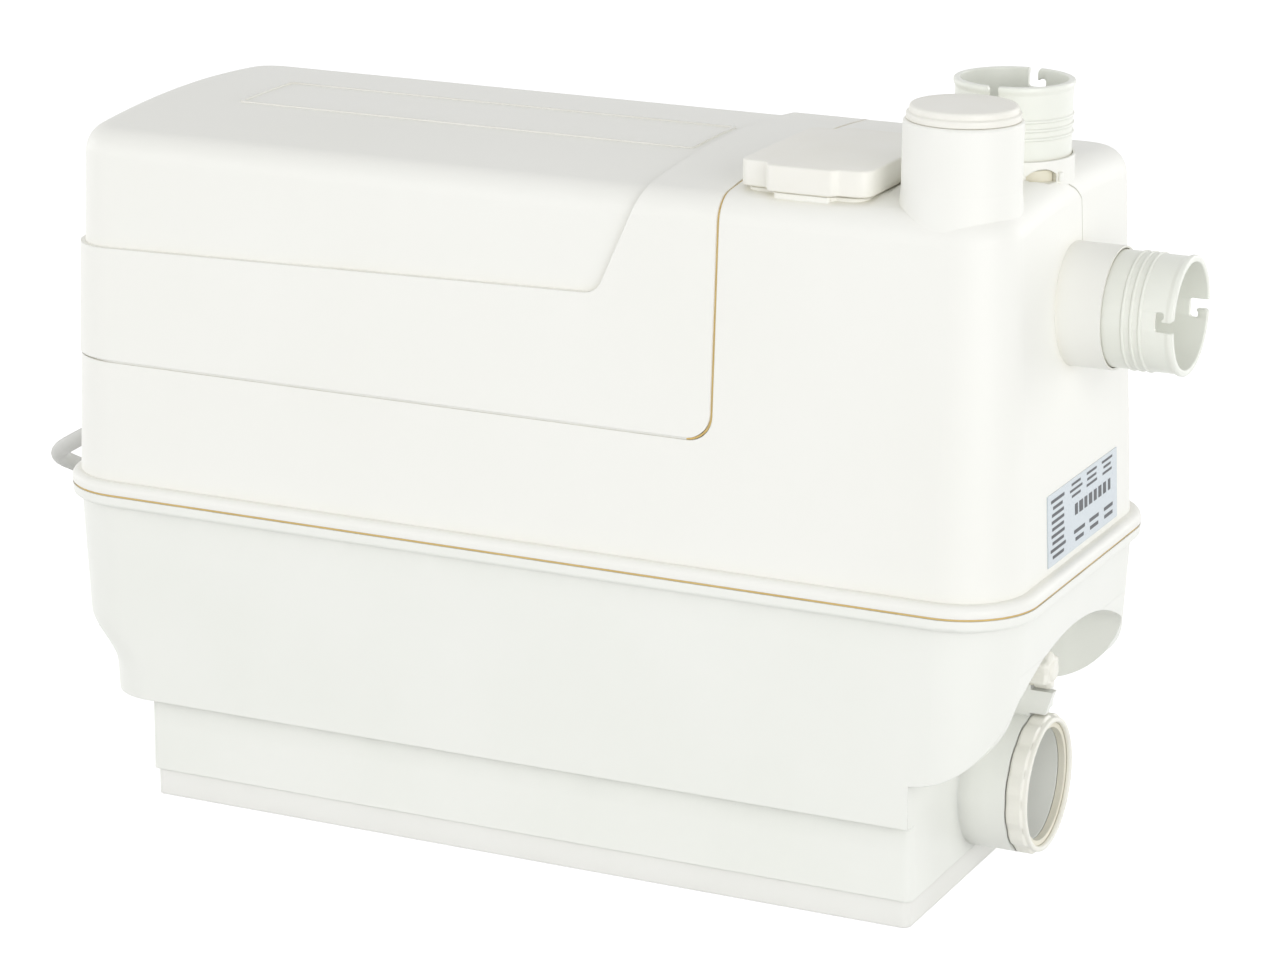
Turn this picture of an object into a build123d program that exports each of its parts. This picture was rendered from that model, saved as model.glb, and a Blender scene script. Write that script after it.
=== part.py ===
"""Compact wastewater lifting station: tank, housing, motor pump, outlets and mains lead.

Millimetres. The origin is at the middle of the base on the floor, +X along the length
towards the low inlet, +Y to the back and +Z up.
"""
from build123d import *
from math import cos, pi, radians, sin, sqrt, tan
import os

os.makedirs("parts", exist_ok=True)

# Outline of the joint between tank and housing
flange_length = 373.0
flange_depth = 158.0
flange_corner = 28.0
seam_z = 116.6
flange_rim = 4.0
gasket_thick = 0.8
gasket_width = 7.6
gasket_setback = 0.5

# Clearances
slide_gap = 0.3
seat_gap = 0.1
running_gap = 0.05
parting_gap = 0.8

# Tank
tank_wall = 3.0
tank_set = 3.1
tank_draft = 2.9
tank_floor_z = 38.0
shoulder_top = 68.0
shoulder_low = 48.0
shoulder_in = 9.6
hull_z = 88.0
hull_radius = 34.0
arch_half = 55.0
arch_radius = 114.0
arch_apex = 95.5
arch_corner = 6.0

# Base under the tank
base_length = 301.0
base_depth = 134.0
base_corner = 3.0
pad_height = 10.0
pad_inset = 1.2
tank_edge = 2.0

# Upper housing
cover_wall = 3.0
wall_set = 3.9
wall_draft = 2.8
left_set = 3.0
left_draft = 1.5
crown_z = 254.0
crown_y = 12.0
crown_radius = 520.0
crown_edge = 10.0
deck_z = 123.0
deck_thick = 3.0
bulkhead_thick = 5.0

# Motor cover
cover_left_z = 165.0
cover_split_x = 76.0
cover_corner = 9.0
motor_cover_wall = 2.6
band_proud = 0.5
panel_recess = 1.3
panel_left_z = 205.0
panel_mid_x = 22.0
panel_mid_z = 211.0
panel_top_x = 47.5
panel_corner = 7.0
line_wide = 0.5
line_deep = 0.4
badge_x = -47.5
badge_y = 2.0
badge_length = 181.0
badge_width = 38.0
badge_border = 1.2
badge_height = 0.6

# Inlet tube at the front right corner
inlet_x = flange_length / 2 - 33.0
inlet_y = 32.0 - flange_depth / 2
inlet_outer = 20.0
inlet_bore = 18.3
inlet_seat_bore = 16.8
inlet_seat_z = 262.0
inlet_rim_z = 278.0
inlet_root = 20.8
inlet_root_z = 244.0
inlet_straight_z = 255.5
inlet_skirt = 19.4
inlet_lip = 1.0
plug_top_z = 283.0
plug_wall = 2.0
plug_edge = 1.2
plug_flange = 19.0
plug_flange_thick = 2.4

# Outlets: one up, one to the right
outlet_x = flange_length / 2 - 33.0
outlet_z = 208.7
collar_outer = 21.2
collar_bore = 19.1
collar_top_z = 259.0
window_turn = 41.0
window_half = 5.8
window_low_z = 251.6
window_spring_z = 254.2
window_top_z = 256.4
boss_end_x = flange_length / 2 + 7.5
sleeve_length = 25.0
sleeve_outer = 20.0
sleeve_bore = 18.25
sleeve_rim = 20.6
sleeve_spigot = 3.5
sleeve_seat = 1.5
sleeve_seat_gap = 0.4
rib_spacing = 3.0
rib_first = 11.7
rib_height = 0.5
slot_width = 3.5
slot_depth = 7.0
slot_hook = 8.0
slot_hook_width = 3.1
seal_length = 10.0
seal_bore = 16.0

# Discharge pipework inside
tee_outer = 18.0
tee_bore = 15.5
tee_foot_z = 186.0
valve_foot_z = 150.0
valve_chamber = 16.0
flap_radius = 11.0
flap_thick = 2.4
flap_pin_radius = 1.2
pipe_outer = 13.0
pipe_bore = 10.5
pipe_level = 40.0
riser_x = 112.0
pipe_turn_z = 128.0
pipe_bend = 19.0

# Inspection cap
cap_x = 103.0
cap_y = 49.75 - flange_depth / 2
cap_width = 47.0
cap_depth = 62.0
cap_tab_width = 24.0
cap_tab_depth = 70.5
cap_corner = 7.0
cap_tab_corner = 3.0
cap_low_z = 251.0
cap_top_z = 260.0
cap_neck_set = 2.0
cap_neck_wall = 3.0
cap_plug_depth = 9.0
cap_gasket_thick = 0.6
cap_pocket = 1.6
cap_floor_wide = 2.0
cap_floor_thick = 2.4

# Low inlet with its union nut, and the drain above it
low_z = 35.0
low_outer = 25.0
low_bore = 19.8
low_thread = 22.0
nut_x = base_length / 2 + 17.5
nut_end_x = nut_x + 7.4
nut_lip = 1.6
nut_pitch = 3.0
low_seal_thick = 2.4
nut_flutes = 14
nut_flute = 0.8
drain_z = 77.0
drain_stub = 6.0
drain_bore = 2.6
drain_thread = 4.2
drain_cap_radius = 7.0
drain_end_x = nut_x + 8.0
drain_washer = 0.5
drain_flute = 0.8
web_thick = 4.0
web_top_z = 69.5

# Blank rating plate on the right wall
plate_low_y = -30.5
plate_high_y = 40.0
plate_low_z = 123.5
plate_high_z = 148.5
plate_thick = 0.4

# Motor
motor_x = -60.0
motor_radius = 41.0
motor_wall = 3.0
motor_foot_radius = 51.5
motor_foot_thick = 4.0
motor_top_z = 205.0
end_shield_thick = 6.0
stator_bore = 24.0
stator_low_z = 137.0
stator_high_z = 197.0
rotor_gap = 0.6
shaft_radius = 6.0
shaft_low_z = 29.0
shaft_high_z = 222.0
bearing_outer = 15.0
bearing_thick = 9.0
seal_outer = 12.0
screw_circle = 46.8
screw_radius = 2.0
screw_head = 3.5
screw_head_height = 3.0
fan_radius = 31.0
fan_thick = 7.0

# Pump under the motor
column_outer = 17.0
column_bore = 13.0
volute_outer = 38.0
volute_wall = 4.0
volute_low_z = 24.0
volute_high_z = 56.0
suction_radius = 14.0
impeller_radius = 28.0
impeller_low_z = 31.0
impeller_thick = 14.0
pump_foot_radius = 4.0
volute_nozzle = 12.0

# Level sensing and air
bell_x = 35.0
bell_y = flange_depth / 2 - 47.0
bell_outer = 12.0
bell_wall = 2.0
bell_low_z = 21.0
switch_radius = 16.0
switch_height = 26.0
filter_x = 0.0
filter_y = flange_depth / 2 - 25.0
filter_radius = 11.0
filter_height = 30.0
vent_radius = 6.0
box_x = -137.0
box_length = 42.0
box_depth = 84.0
box_height = 44.0
capacitor_x = 35.0
capacitor_y = 47.0 - flange_depth / 2
capacitor_radius = 15.0
capacitor_height = 66.0

# Mains lead
cord_diameter = 6.4
gland_z = 133.0
gland_tilt = 30.0
gland_shank = 5.5
gland_boss = 8.2
gland_boss_length = 5.2
gland_collar = 4.0
gland_relief = 19.0
coil_radius = 42.1
coil_pitch = 8.2
plug_radius = 18.5
plug_body = 34.0
plug_neck = 16.0
plug_pin = 2.4
plug_pin_length = 19.0
plug_pin_spread = 19.0

half_length = flange_length / 2
half_depth = flange_depth / 2
lid_low_z = seam_z + gasket_thick / 2
tank_high_z = seam_z - gasket_thick / 2
deck_low_z = deck_z - deck_thick
base_end = base_length / 2


def outline(z, sides, corner):
    """Rounded rectangle at height z between left, right, front and back."""
    left, right, front, back = sides
    with BuildSketch(Plane.XY.offset(z)) as face:
        with Locations(((left + right) / 2, (front + back) / 2)):
            RectangleRounded(right - left, back - front, corner)
    return face.sketch


def flange_sides(inset):
    """The flange outline drawn in by inset."""
    x = half_length - inset
    y = half_depth - inset
    return -x, x, -y, y


def upper_sides(z, inset):
    """The upper housing's walls at height z, drawn in by inset."""
    rise = z - seam_z
    side = wall_set + rise * tan(radians(wall_draft)) + inset
    left = left_set + rise * tan(radians(left_draft)) + inset
    return -half_length + left, half_length - side, -half_depth + side, half_depth - side


def upper_corner(z, inset):
    """Corner radius of the upper housing at height z."""
    return flange_corner - wall_set - (z - seam_z) * tan(radians(wall_draft)) - inset


def crown_height(y, drop):
    """Height of the crown at depth y, lowered by drop."""
    rest = (crown_radius - drop) ** 2 - (y - crown_y) ** 2
    return crown_z - crown_radius + sqrt(rest)


def upper_block(inset, drop, edge):
    """The solid inside the upper housing's skin, with its crowned top and rounded edges."""
    high_z = crown_z + 6
    low = outline(lid_low_z, upper_sides(lid_low_z, inset), upper_corner(lid_low_z, inset))
    high = outline(high_z, upper_sides(high_z, inset), upper_corner(high_z, inset))
    span = half_depth + 10
    with BuildPart() as block:
        loft(sections=[low, high], ruled=True)
        with BuildSketch(Plane.YZ):
            with BuildLine():
                top = ThreePointArc((-span, crown_height(-span, drop)), (crown_y, crown_z - drop),
                                    (span, crown_height(span, drop)))
                Polyline(top @ 1, (span, 0), (-span, 0), top @ 0)
            make_face()
        extrude(amount=half_length + 10, both=True, mode=Mode.INTERSECT)
        fillet(block.faces().sort_by(Axis.Z)[-1].edges(), radius=edge)
    return block.part


def between(low, high):
    """A plain block between two corners."""
    size = [b - a for a, b in zip(low, high)]
    middle = [(a + b) / 2 for a, b in zip(low, high)]
    return Pos(*middle) * Box(*size)


def motor_region(gap):
    """The space of the motor cover, drawn in from the parting line by gap."""
    right = cover_split_x - gap
    low = cover_left_z + gap
    with BuildPart() as region:
        with BuildSketch(Plane.XZ) as face:
            with BuildLine():
                Polyline((-half_length - 20, low), (right, low), (right, crown_z + 20),
                         (-half_length - 20, crown_z + 20), close=True)
            make_face()
            fillet(face.vertices().group_by(Axis.X)[-1].sort_by(Axis.Y)[0], radius=cover_corner)
        extrude(amount=half_depth + 10, both=True)
    return region.part


def panel_region():
    """The space of the recessed panel on the motor cover."""
    far = -half_length - 20
    high = crown_z + 20
    rise_x = panel_mid_x + 10
    with BuildPart() as region:
        with BuildSketch(Plane.XZ) as face:
            with BuildLine():
                Polyline((far, panel_left_z), (rise_x, panel_mid_z), (panel_top_x, crown_z - 6),
                         (panel_top_x, high), (far, high), close=True)
            make_face()
            turn = face.vertices().sort_by_distance((rise_x, panel_mid_z))[0]
            fillet(turn, radius=panel_corner)
        extrude(amount=half_depth + 10, both=True)
    return region.part


def tank_sides(z, inset):
    """The tank's walls at height z, drawn in by inset, with the shoulder at its left end."""
    drop = tank_high_z - z
    side = tank_set + drop * tan(radians(tank_draft)) + inset
    share = min(max((shoulder_top - z) / (shoulder_top - shoulder_low), 0.0), 1.0)
    left = side + shoulder_in * (1 - cos(pi * share)) / 2
    return -half_length + left, half_length - side, -half_depth + side, half_depth - side


def tank_corner(z, inset):
    """Corner radius of the tank at height z."""
    return flange_corner - tank_set - (tank_high_z - z) * tan(radians(tank_draft)) - inset


def tank_block(inset):
    """The tank's outer shape above its base, drawn in by inset."""
    floor_z = tank_floor_z + inset
    steps = 6
    heights = [shoulder_top - i * (shoulder_top - shoulder_low) / steps for i in range(steps + 1)]
    levels = [outline(z, tank_sides(z, inset), tank_corner(z, inset)) for z in heights]
    top = outline(tank_high_z, tank_sides(tank_high_z, inset), tank_corner(tank_high_z, inset))
    foot = outline(floor_z, tank_sides(floor_z, inset), tank_corner(floor_z, inset))
    hull = hull_radius - inset
    hull_x = tank_sides(hull_z, 0)[1] - hull_radius
    end_x = base_end - inset
    end_z = hull_z - sqrt(hull ** 2 - (end_x - hull_x) ** 2)
    out_x = hull_x + hull
    far = half_length + 20
    with BuildPart() as block:
        loft(sections=[levels[0], top], ruled=True)
        loft(sections=levels)
        loft(sections=[foot, levels[-1]], ruled=True)
        with BuildSketch(Plane.XZ):
            with BuildLine():
                bend = ThreePointArc((end_x, end_z),
                                     (hull_x + hull * cos(radians(-40)), hull_z + hull * sin(radians(-40))),
                                     (out_x, hull_z))
                Polyline(bend @ 1, (out_x, hull_z + 4), (far, hull_z + 4), (far, tank_high_z + 10),
                         (-far, tank_high_z + 10), (-far, floor_z - 10), (end_x, floor_z - 10), bend @ 0)
            make_face()
        extrude(amount=half_depth + 10, both=True, mode=Mode.INTERSECT)
    return block.part


def recess_block(grow):
    """The arched recess under the right end, made larger by grow."""
    half = arch_half + grow
    apex = arch_apex + grow
    radius = arch_radius + grow
    side_z = apex - radius + sqrt(radius ** 2 - half ** 2)
    with BuildPart() as block:
        with BuildSketch(Plane.YZ.offset(base_end - grow)) as face:
            with BuildLine():
                top = ThreePointArc((-half, side_z), (0, apex), (half, side_z))
                Polyline(top @ 1, (half, -20), (-half, -20), top @ 0)
            make_face()
            fillet(face.vertices().filter_by(lambda v: v.Y > side_z - 1 and abs(v.X) > half - 1),
                   radius=arch_corner)
        extrude(amount=60)
    return block.part


def ring(low, high, outer, bore):
    """A plain ring about Z between two heights."""
    with BuildPart() as part:
        with BuildSketch(Plane.XY.offset(low)):
            Circle(outer)
            Circle(bore, mode=Mode.SUBTRACT)
        extrude(amount=high - low)
    return part.part


def along_x(part, y, z):
    """Turns a part made about Z so that it points along +X through y and z."""
    return Location((0, y, z)) * Location((0, 0, 0), (0, 90, 0)) * part


def cap_outline(z, grow):
    """Outline of the inspection cap: a rounded plate with a tab to the front and back."""
    with BuildSketch(Plane.XY.offset(z)) as face:
        with Locations((cap_x, cap_y)):
            RectangleRounded(cap_width + 2 * grow, cap_depth + 2 * grow, cap_corner + grow)
            RectangleRounded(cap_tab_width + 2 * grow, cap_tab_depth + 2 * grow, cap_tab_corner + grow)
    return face.sketch


def tank_space():
    """The hollow of the tank and its base, kept clear of the arched recess."""
    with BuildPart() as space:
        add(tank_block(tank_wall))
        with BuildSketch(Plane.XY.offset(pad_height + tank_wall)):
            RectangleRounded(base_length - 2 * tank_wall, base_depth - 2 * tank_wall, base_corner)
        extrude(amount=tank_floor_z + tank_wall + tank_edge - pad_height)
        add(recess_block(tank_wall), mode=Mode.SUBTRACT)
    return space.part


hatch_width = cap_width - 2 * (cap_neck_set + cap_neck_wall)
hatch_depth = cap_depth - 2 * (cap_neck_set + cap_neck_wall)

# Tank with its hollow base, flange, arched recess, low inlet tube and drain stub
with BuildPart() as tank:
    add(tank_block(0))
    with BuildSketch(Plane.XY.offset(pad_height)):
        RectangleRounded(base_length, base_depth, base_corner)
    extrude(amount=tank_floor_z + 2 * tank_edge - pad_height)
    add(recess_block(0), mode=Mode.SUBTRACT)
    with BuildSketch(Plane.XY.offset(tank_high_z - flange_rim)):
        add(outline(tank_high_z - flange_rim, flange_sides(0), flange_corner))
    extrude(amount=flange_rim)
    fillet(tank.edges().filter_by_position(Axis.Z, tank_high_z - flange_rim - 0.01,
                                           tank_high_z - flange_rim + 0.01)
           .sort_by(SortBy.DISTANCE, reverse=True)[:8], radius=1.5)
    with BuildSketch(Plane.YZ.offset(base_end - tank_wall)):
        with Locations((0, low_z)):
            Circle(low_outer)
    extrude(amount=nut_x - slide_gap - base_end + tank_wall)
    with BuildSketch(Plane.YZ.offset(base_end)):
        with Locations((0, low_z)):
            Circle(low_thread)
    extrude(amount=nut_end_x - nut_lip - low_seal_thick - slide_gap - base_end)
    with BuildSketch(Plane.YZ.offset(base_end - tank_wall)):
        with Locations((0, drain_z)):
            Circle(drain_stub)
    extrude(amount=nut_x - slide_gap - base_end + tank_wall)
    with BuildSketch(Plane.YZ.offset(base_end)):
        with Locations((0, drain_z)):
            Circle(drain_thread)
    extrude(amount=nut_x + 4 - base_end)
    with BuildSketch(Plane.XZ.offset(-web_thick / 2)):
        with BuildLine():
            Polyline((base_end - 1, drain_z), (nut_x - slide_gap, drain_z), (nut_x - slide_gap, web_top_z),
                     (drain_end_x, web_top_z), (nut_end_x - 2, low_z + low_outer + 1),
                     (nut_x - slide_gap, low_z + low_outer + 1), (nut_x - slide_gap, low_z + low_outer - 2),
                     (base_end - 1, low_z + low_outer - 2), close=True)
        make_face()
    extrude(amount=web_thick)
    add(tank_space(), mode=Mode.SUBTRACT)
    with BuildSketch(Plane.YZ.offset(base_end - 2 * tank_wall)):
        with Locations((0, low_z)):
            Circle(low_bore)
        with Locations((0, drain_z)):
            Circle(drain_bore)
    extrude(amount=nut_end_x - base_end + 2 * tank_wall, mode=Mode.SUBTRACT)
tank.part.label = "tank"
export_step(tank.part, "parts/tank.step")

# Strip that the base stands on
with BuildPart() as base_pad:
    with BuildSketch():
        RectangleRounded(base_length - 2 * pad_inset, base_depth - 2 * pad_inset, base_corner)
    extrude(amount=pad_height)
base_pad.part.label = "base_pad"
export_step(base_pad.part, "parts/base_pad.step")

# Gasket that shows as a line between tank and housing
with BuildPart() as tank_gasket:
    with BuildSketch(Plane.XY.offset(tank_high_z)):
        inner = gasket_setback + gasket_width
        RectangleRounded(flange_length - 2 * gasket_setback, flange_depth - 2 * gasket_setback,
                         flange_corner - gasket_setback)
        RectangleRounded(flange_length - 2 * inner, flange_depth - 2 * inner,
                         flange_corner - inner, mode=Mode.SUBTRACT)
    extrude(amount=gasket_thick)
tank_gasket.part.label = "tank_gasket"
export_step(tank_gasket.part, "parts/tank_gasket.step")

# Upper housing with the deck, the bulkhead, the inlet tube and the outlet collars
cover_hollow = panel_recess + motor_cover_wall
tongue_set = cover_hollow + slide_gap
tongue_low_x = cover_split_x + parting_gap / 2 + cover_wall - bulkhead_thick
wet_low_x = cover_split_x + parting_gap / 2 + cover_wall
bore_low_z = inlet_rim_z - 45
gland_wall_x = upper_sides(gland_z, 0)[0]
gland_plane = Plane(origin=(gland_wall_x, 0, gland_z), x_dir=(0, 1, 0),
                    z_dir=(-cos(radians(gland_tilt)), 0, -sin(radians(gland_tilt))))
window_plane = Plane(origin=(outlet_x, 0, 0), z_dir=(cos(radians(window_turn)), -sin(radians(window_turn)), 0),
                     x_dir=(sin(radians(window_turn)), cos(radians(window_turn)), 0))
reach = half_length + 20
high_reach = crown_z + 20
inner_skin = upper_block(cover_wall, cover_wall, crown_edge - cover_wall)
tongue = upper_block(tongue_set, tongue_set, crown_edge - tongue_set)
tongue = tongue & between((tongue_low_x, -reach, deck_low_z), (wet_low_x, reach, high_reach))
wet_space = inner_skin & between((wet_low_x, -reach, 0), (reach, reach, high_reach))
under_deck = inner_skin & between((-reach, -reach, 0), (wet_low_x + 1, reach, deck_low_z))
dry_space = inner_skin & between((-reach, -reach, deck_z), (tongue_low_x, reach, high_reach))

with BuildPart() as tube_form:
    with BuildSketch(Plane.XZ) as tube_face:
        with BuildLine():
            Polyline((inlet_seat_bore, bore_low_z), (inlet_skirt, bore_low_z), (inlet_skirt, inlet_root_z),
                     (inlet_root, inlet_root_z), (inlet_outer, inlet_straight_z),
                     (inlet_outer, inlet_rim_z), (inlet_bore, inlet_rim_z), (inlet_bore, inlet_seat_z),
                     (inlet_seat_bore, inlet_seat_z), close=True)
        make_face()
        fillet(tube_face.vertices().sort_by_distance((inlet_outer, inlet_rim_z))[0], radius=inlet_lip)
    revolve(axis=Axis.Z)
inlet_tube = tube_form.part

# Fine joint line that runs down the right wall to the boss
line_path = [(-4.4, 251.0), (2.5, 247.3), (6.9, 243.4), (7.3, 240.0), (7.3, outlet_z + collar_outer - 1)]
skin = upper_block(0, 0, crown_edge) - upper_block(line_deep, line_deep, crown_edge - line_deep)
with BuildPart() as line_blade:
    with BuildSketch(Plane.YZ.offset(outlet_x)):
        with BuildLine():
            FilletPolyline(*line_path, radius=1.5)
            offset(amount=line_wide / 2)
        make_face()
    extrude(amount=reach - outlet_x)
joint_line = skin & line_blade.part

# Floor of the pocket that the inspection cap lies in, closed round its neck
with BuildPart() as floor_form:
    add(cap_outline(cap_low_z - cap_gasket_thick, cap_pocket + cap_floor_wide))
    extrude(amount=-cap_floor_thick)
cap_floor = (floor_form.part & upper_block(0, 0, crown_edge)) - motor_region(-parting_gap / 2) - dry_space

with BuildPart() as main_cover:
    with BuildSketch(Plane.XY.offset(lid_low_z)):
        RectangleRounded(flange_length, flange_depth, flange_corner)
    extrude(amount=flange_rim)
    fillet(main_cover.faces().sort_by(Axis.Z)[-1].edges(), radius=2.5)
    add(upper_block(0, 0, crown_edge))
    add(cap_outline(cap_low_z - cap_gasket_thick, cap_pocket))
    extrude(amount=20, mode=Mode.SUBTRACT)
    add(dry_space, mode=Mode.SUBTRACT)
    add(motor_region(-parting_gap / 2), mode=Mode.SUBTRACT)
    add(tongue)
    add(wet_space, mode=Mode.SUBTRACT)
    add(under_deck, mode=Mode.SUBTRACT)
    add(cap_floor)
    # Neck of the inspection opening
    add(cap_outline(cap_low_z - cap_gasket_thick, -cap_neck_set))
    extrude(amount=-cap_plug_depth)
    with BuildSketch(Plane.XY.offset(cap_low_z - cap_gasket_thick)):
        with Locations((cap_x, cap_y)):
            RectangleRounded(hatch_width, hatch_depth, cap_tab_corner)
    extrude(amount=-cap_plug_depth - cap_neck_wall, mode=Mode.SUBTRACT)
    # Inlet tube, with a flared root, a straight end for the pipe and a bore with a seat
    with BuildSketch(Plane.XY.offset(bore_low_z)):
        with Locations((inlet_x, inlet_y)):
            Circle(inlet_seat_bore)
    extrude(amount=inlet_rim_z - bore_low_z, mode=Mode.SUBTRACT)
    add(Location((inlet_x, inlet_y, 0)) * inlet_tube)
    # Collar of the upward outlet
    with BuildSketch(Plane.XY.offset(crown_z - 8)):
        with Locations((outlet_x, 0)):
            Circle(collar_outer)
    extrude(amount=collar_top_z - crown_z + 8)
    with BuildSketch(Plane.XY.offset(crown_z - 10)):
        with Locations((outlet_x, 0)):
            Circle(collar_bore)
    extrude(amount=collar_top_z - crown_z + 10, mode=Mode.SUBTRACT)
    with BuildSketch(Plane.XY.offset(collar_top_z - sleeve_seat)):
        with Locations((outlet_x, 0)):
            Circle(sleeve_outer + sleeve_seat_gap)
    extrude(amount=sleeve_seat, mode=Mode.SUBTRACT)
    # Arched window in the collar that shows the seal
    with BuildSketch(window_plane.offset(sleeve_bore)):
        with BuildLine():
            arch = ThreePointArc((-window_half, window_spring_z), (0, window_top_z),
                                 (window_half, window_spring_z))
            Polyline(arch @ 1, (window_half, window_low_z), (-window_half, window_low_z), arch @ 0)
        make_face()
    extrude(amount=collar_outer - sleeve_bore + 2, mode=Mode.SUBTRACT)
    # Boss of the sideways outlet
    with BuildSketch(Plane.YZ.offset(boss_end_x - 20)):
        with Locations((0, outlet_z)):
            Circle(collar_outer)
    extrude(amount=20)
    with BuildSketch(Plane.YZ.offset(boss_end_x - 22)):
        with Locations((0, outlet_z)):
            Circle(collar_bore)
    extrude(amount=22, mode=Mode.SUBTRACT)
    with BuildSketch(Plane.YZ.offset(boss_end_x - sleeve_seat)):
        with Locations((0, outlet_z)):
            Circle(sleeve_outer + sleeve_seat_gap)
    extrude(amount=sleeve_seat, mode=Mode.SUBTRACT)
    add(joint_line, mode=Mode.SUBTRACT)
    # Tilted boss of the cable gland
    with BuildSketch(gland_plane.offset(-8)):
        Circle(gland_boss)
    extrude(amount=8 + gland_boss_length)
    with BuildSketch(gland_plane.offset(-12)):
        Circle(gland_shank + running_gap)
    extrude(amount=12 + gland_boss_length, mode=Mode.SUBTRACT)
    # Deck holes for the shaft, the level bell, the air filter and the motor screws
    with BuildSketch(Plane.XY.offset(deck_low_z)):
        with Locations((motor_x, 0)):
            Circle(seal_outer + running_gap)
        with Locations((bell_x, bell_y)):
            Circle(bell_outer - bell_wall)
        with Locations((filter_x, filter_y)):
            Circle(vent_radius)
        with Locations((motor_x, 0)):
            with PolarLocations(screw_circle, 4, start_angle=45):
                Circle(screw_radius + running_gap)
    extrude(amount=deck_thick, mode=Mode.SUBTRACT)
main_cover.part.label = "main_cover"
export_step(main_cover.part, "parts/main_cover.step")

# Lift-off cover over the motor, with its recessed panel and a plain raised border on top
with BuildPart() as motor_cover:
    add(upper_block(-band_proud, 0, crown_edge))
    add(motor_region(parting_gap / 2), mode=Mode.INTERSECT)
    recess = upper_block(-band_proud, 0, crown_edge) - upper_block(panel_recess, panel_recess, crown_edge)
    add(recess & panel_region(), mode=Mode.SUBTRACT)
    badge = upper_block(panel_recess, panel_recess - badge_height, crown_edge)
    with BuildSketch(Plane.XY.offset(crown_z - 12), mode=Mode.PRIVATE) as border:
        with Locations((badge_x, badge_y)):
            RectangleRounded(badge_length, badge_width, 2)
            RectangleRounded(badge_length - 2 * badge_border, badge_width - 2 * badge_border, 1.5,
                             mode=Mode.SUBTRACT)
    add(badge & extrude(border.sketch, amount=20, mode=Mode.PRIVATE))
    add(upper_block(cover_hollow, cover_hollow, crown_edge - cover_hollow), mode=Mode.SUBTRACT)
motor_cover.part.label = "motor_cover"
export_step(motor_cover.part, "parts/motor_cover.step")


def lobed(z, radius, depth, count):
    """A round outline with shallow flutes, at height z."""
    with BuildSketch(Plane.XY.offset(z)) as face:
        Circle(radius)
        with PolarLocations(radius + depth, count):
            Circle(2 * depth, mode=Mode.SUBTRACT)
    return face.sketch


def sleeve():
    """An outlet sleeve about Z, its shoulder at zero, with three ribs and two bayonet slots."""
    first_rib = sleeve_length - rib_first
    with BuildPart() as part:
        with BuildSketch(Plane.XZ):
            with BuildLine():
                Polyline((seal_bore, -sleeve_spigot), (collar_bore - seat_gap, -sleeve_spigot),
                         (collar_bore - seat_gap, -sleeve_seat), (sleeve_outer, -sleeve_seat),
                         (sleeve_outer, sleeve_length - 4), (sleeve_rim, sleeve_length - 3),
                         (sleeve_rim, sleeve_length), (sleeve_bore, sleeve_length),
                         (sleeve_bore, 1.5), (seal_bore, 1.5), close=True)
            make_face()
            with Locations(*[(sleeve_outer, first_rib - i * rib_spacing) for i in range(3)]):
                Rectangle(2 * rib_height, 1.2)
        revolve(axis=Axis.Z)
        for side in (1, -1):
            with BuildSketch(Plane.XZ) as slot:
                with Locations((0, sleeve_length - slot_depth / 2)):
                    Rectangle(slot_width, slot_depth)
                with Locations((side * (slot_hook / 2), sleeve_length - slot_depth)):
                    SlotOverall(slot_hook + slot_hook_width, slot_hook_width)
            extrude(amount=-side * (sleeve_rim + 2), mode=Mode.SUBTRACT)
    return part.part


def seal_ring():
    """A rubber ring about Z that hangs from a sleeve's spigot."""
    return ring(-sleeve_spigot - seal_length, -sleeve_spigot, collar_bore - seat_gap, seal_bore)


# Outlet sleeves and the rubber rings under them
outlet_sleeve = sleeve()
outlet_ring = seal_ring()
with BuildPart() as top_sleeve:
    add(Location((outlet_x, 0, collar_top_z)) * outlet_sleeve)
top_sleeve.part.label = "top_sleeve"
export_step(top_sleeve.part, "parts/top_sleeve.step")

with BuildPart() as top_seal:
    add(Location((outlet_x, 0, collar_top_z)) * outlet_ring)
top_seal.part.label = "top_seal"
export_step(top_seal.part, "parts/top_seal.step")

with BuildPart() as side_sleeve:
    add(Location((boss_end_x, 0, outlet_z), (0, 90, 0)) * outlet_sleeve)
side_sleeve.part.label = "side_sleeve"
export_step(side_sleeve.part, "parts/side_sleeve.step")

with BuildPart() as side_seal:
    add(Location((boss_end_x, 0, outlet_z), (0, 90, 0)) * outlet_ring)
side_seal.part.label = "side_seal"
export_step(side_seal.part, "parts/side_seal.step")

# Push-in plug of the unused inlet: a cup with a flange that rests on the tube's rim
plug_low_z = inlet_seat_z + slide_gap
plug_outer = inlet_bore - slide_gap
flange_z = inlet_rim_z + seat_gap
with BuildPart() as plug_form:
    with BuildSketch(Plane.XZ) as plug_face_sketch:
        with BuildLine():
            Polyline((0, plug_top_z), (plug_outer, plug_top_z), (plug_outer, flange_z + plug_flange_thick),
                     (plug_flange, flange_z + plug_flange_thick - 0.5), (plug_flange, flange_z),
                     (plug_outer, flange_z), (plug_outer, plug_low_z), (plug_outer - plug_wall, plug_low_z),
                     (plug_outer - plug_wall, plug_top_z - plug_wall), (0, plug_top_z - plug_wall), close=True)
        make_face()
        fillet(plug_face_sketch.vertices().sort_by_distance((plug_outer, plug_top_z))[0], radius=plug_edge)
    revolve(axis=Axis.Z)
with BuildPart() as inlet_plug:
    add(Location((inlet_x, inlet_y, 0)) * plug_form.part)
inlet_plug.part.label = "inlet_plug"
export_step(inlet_plug.part, "parts/inlet_plug.step")

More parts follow.
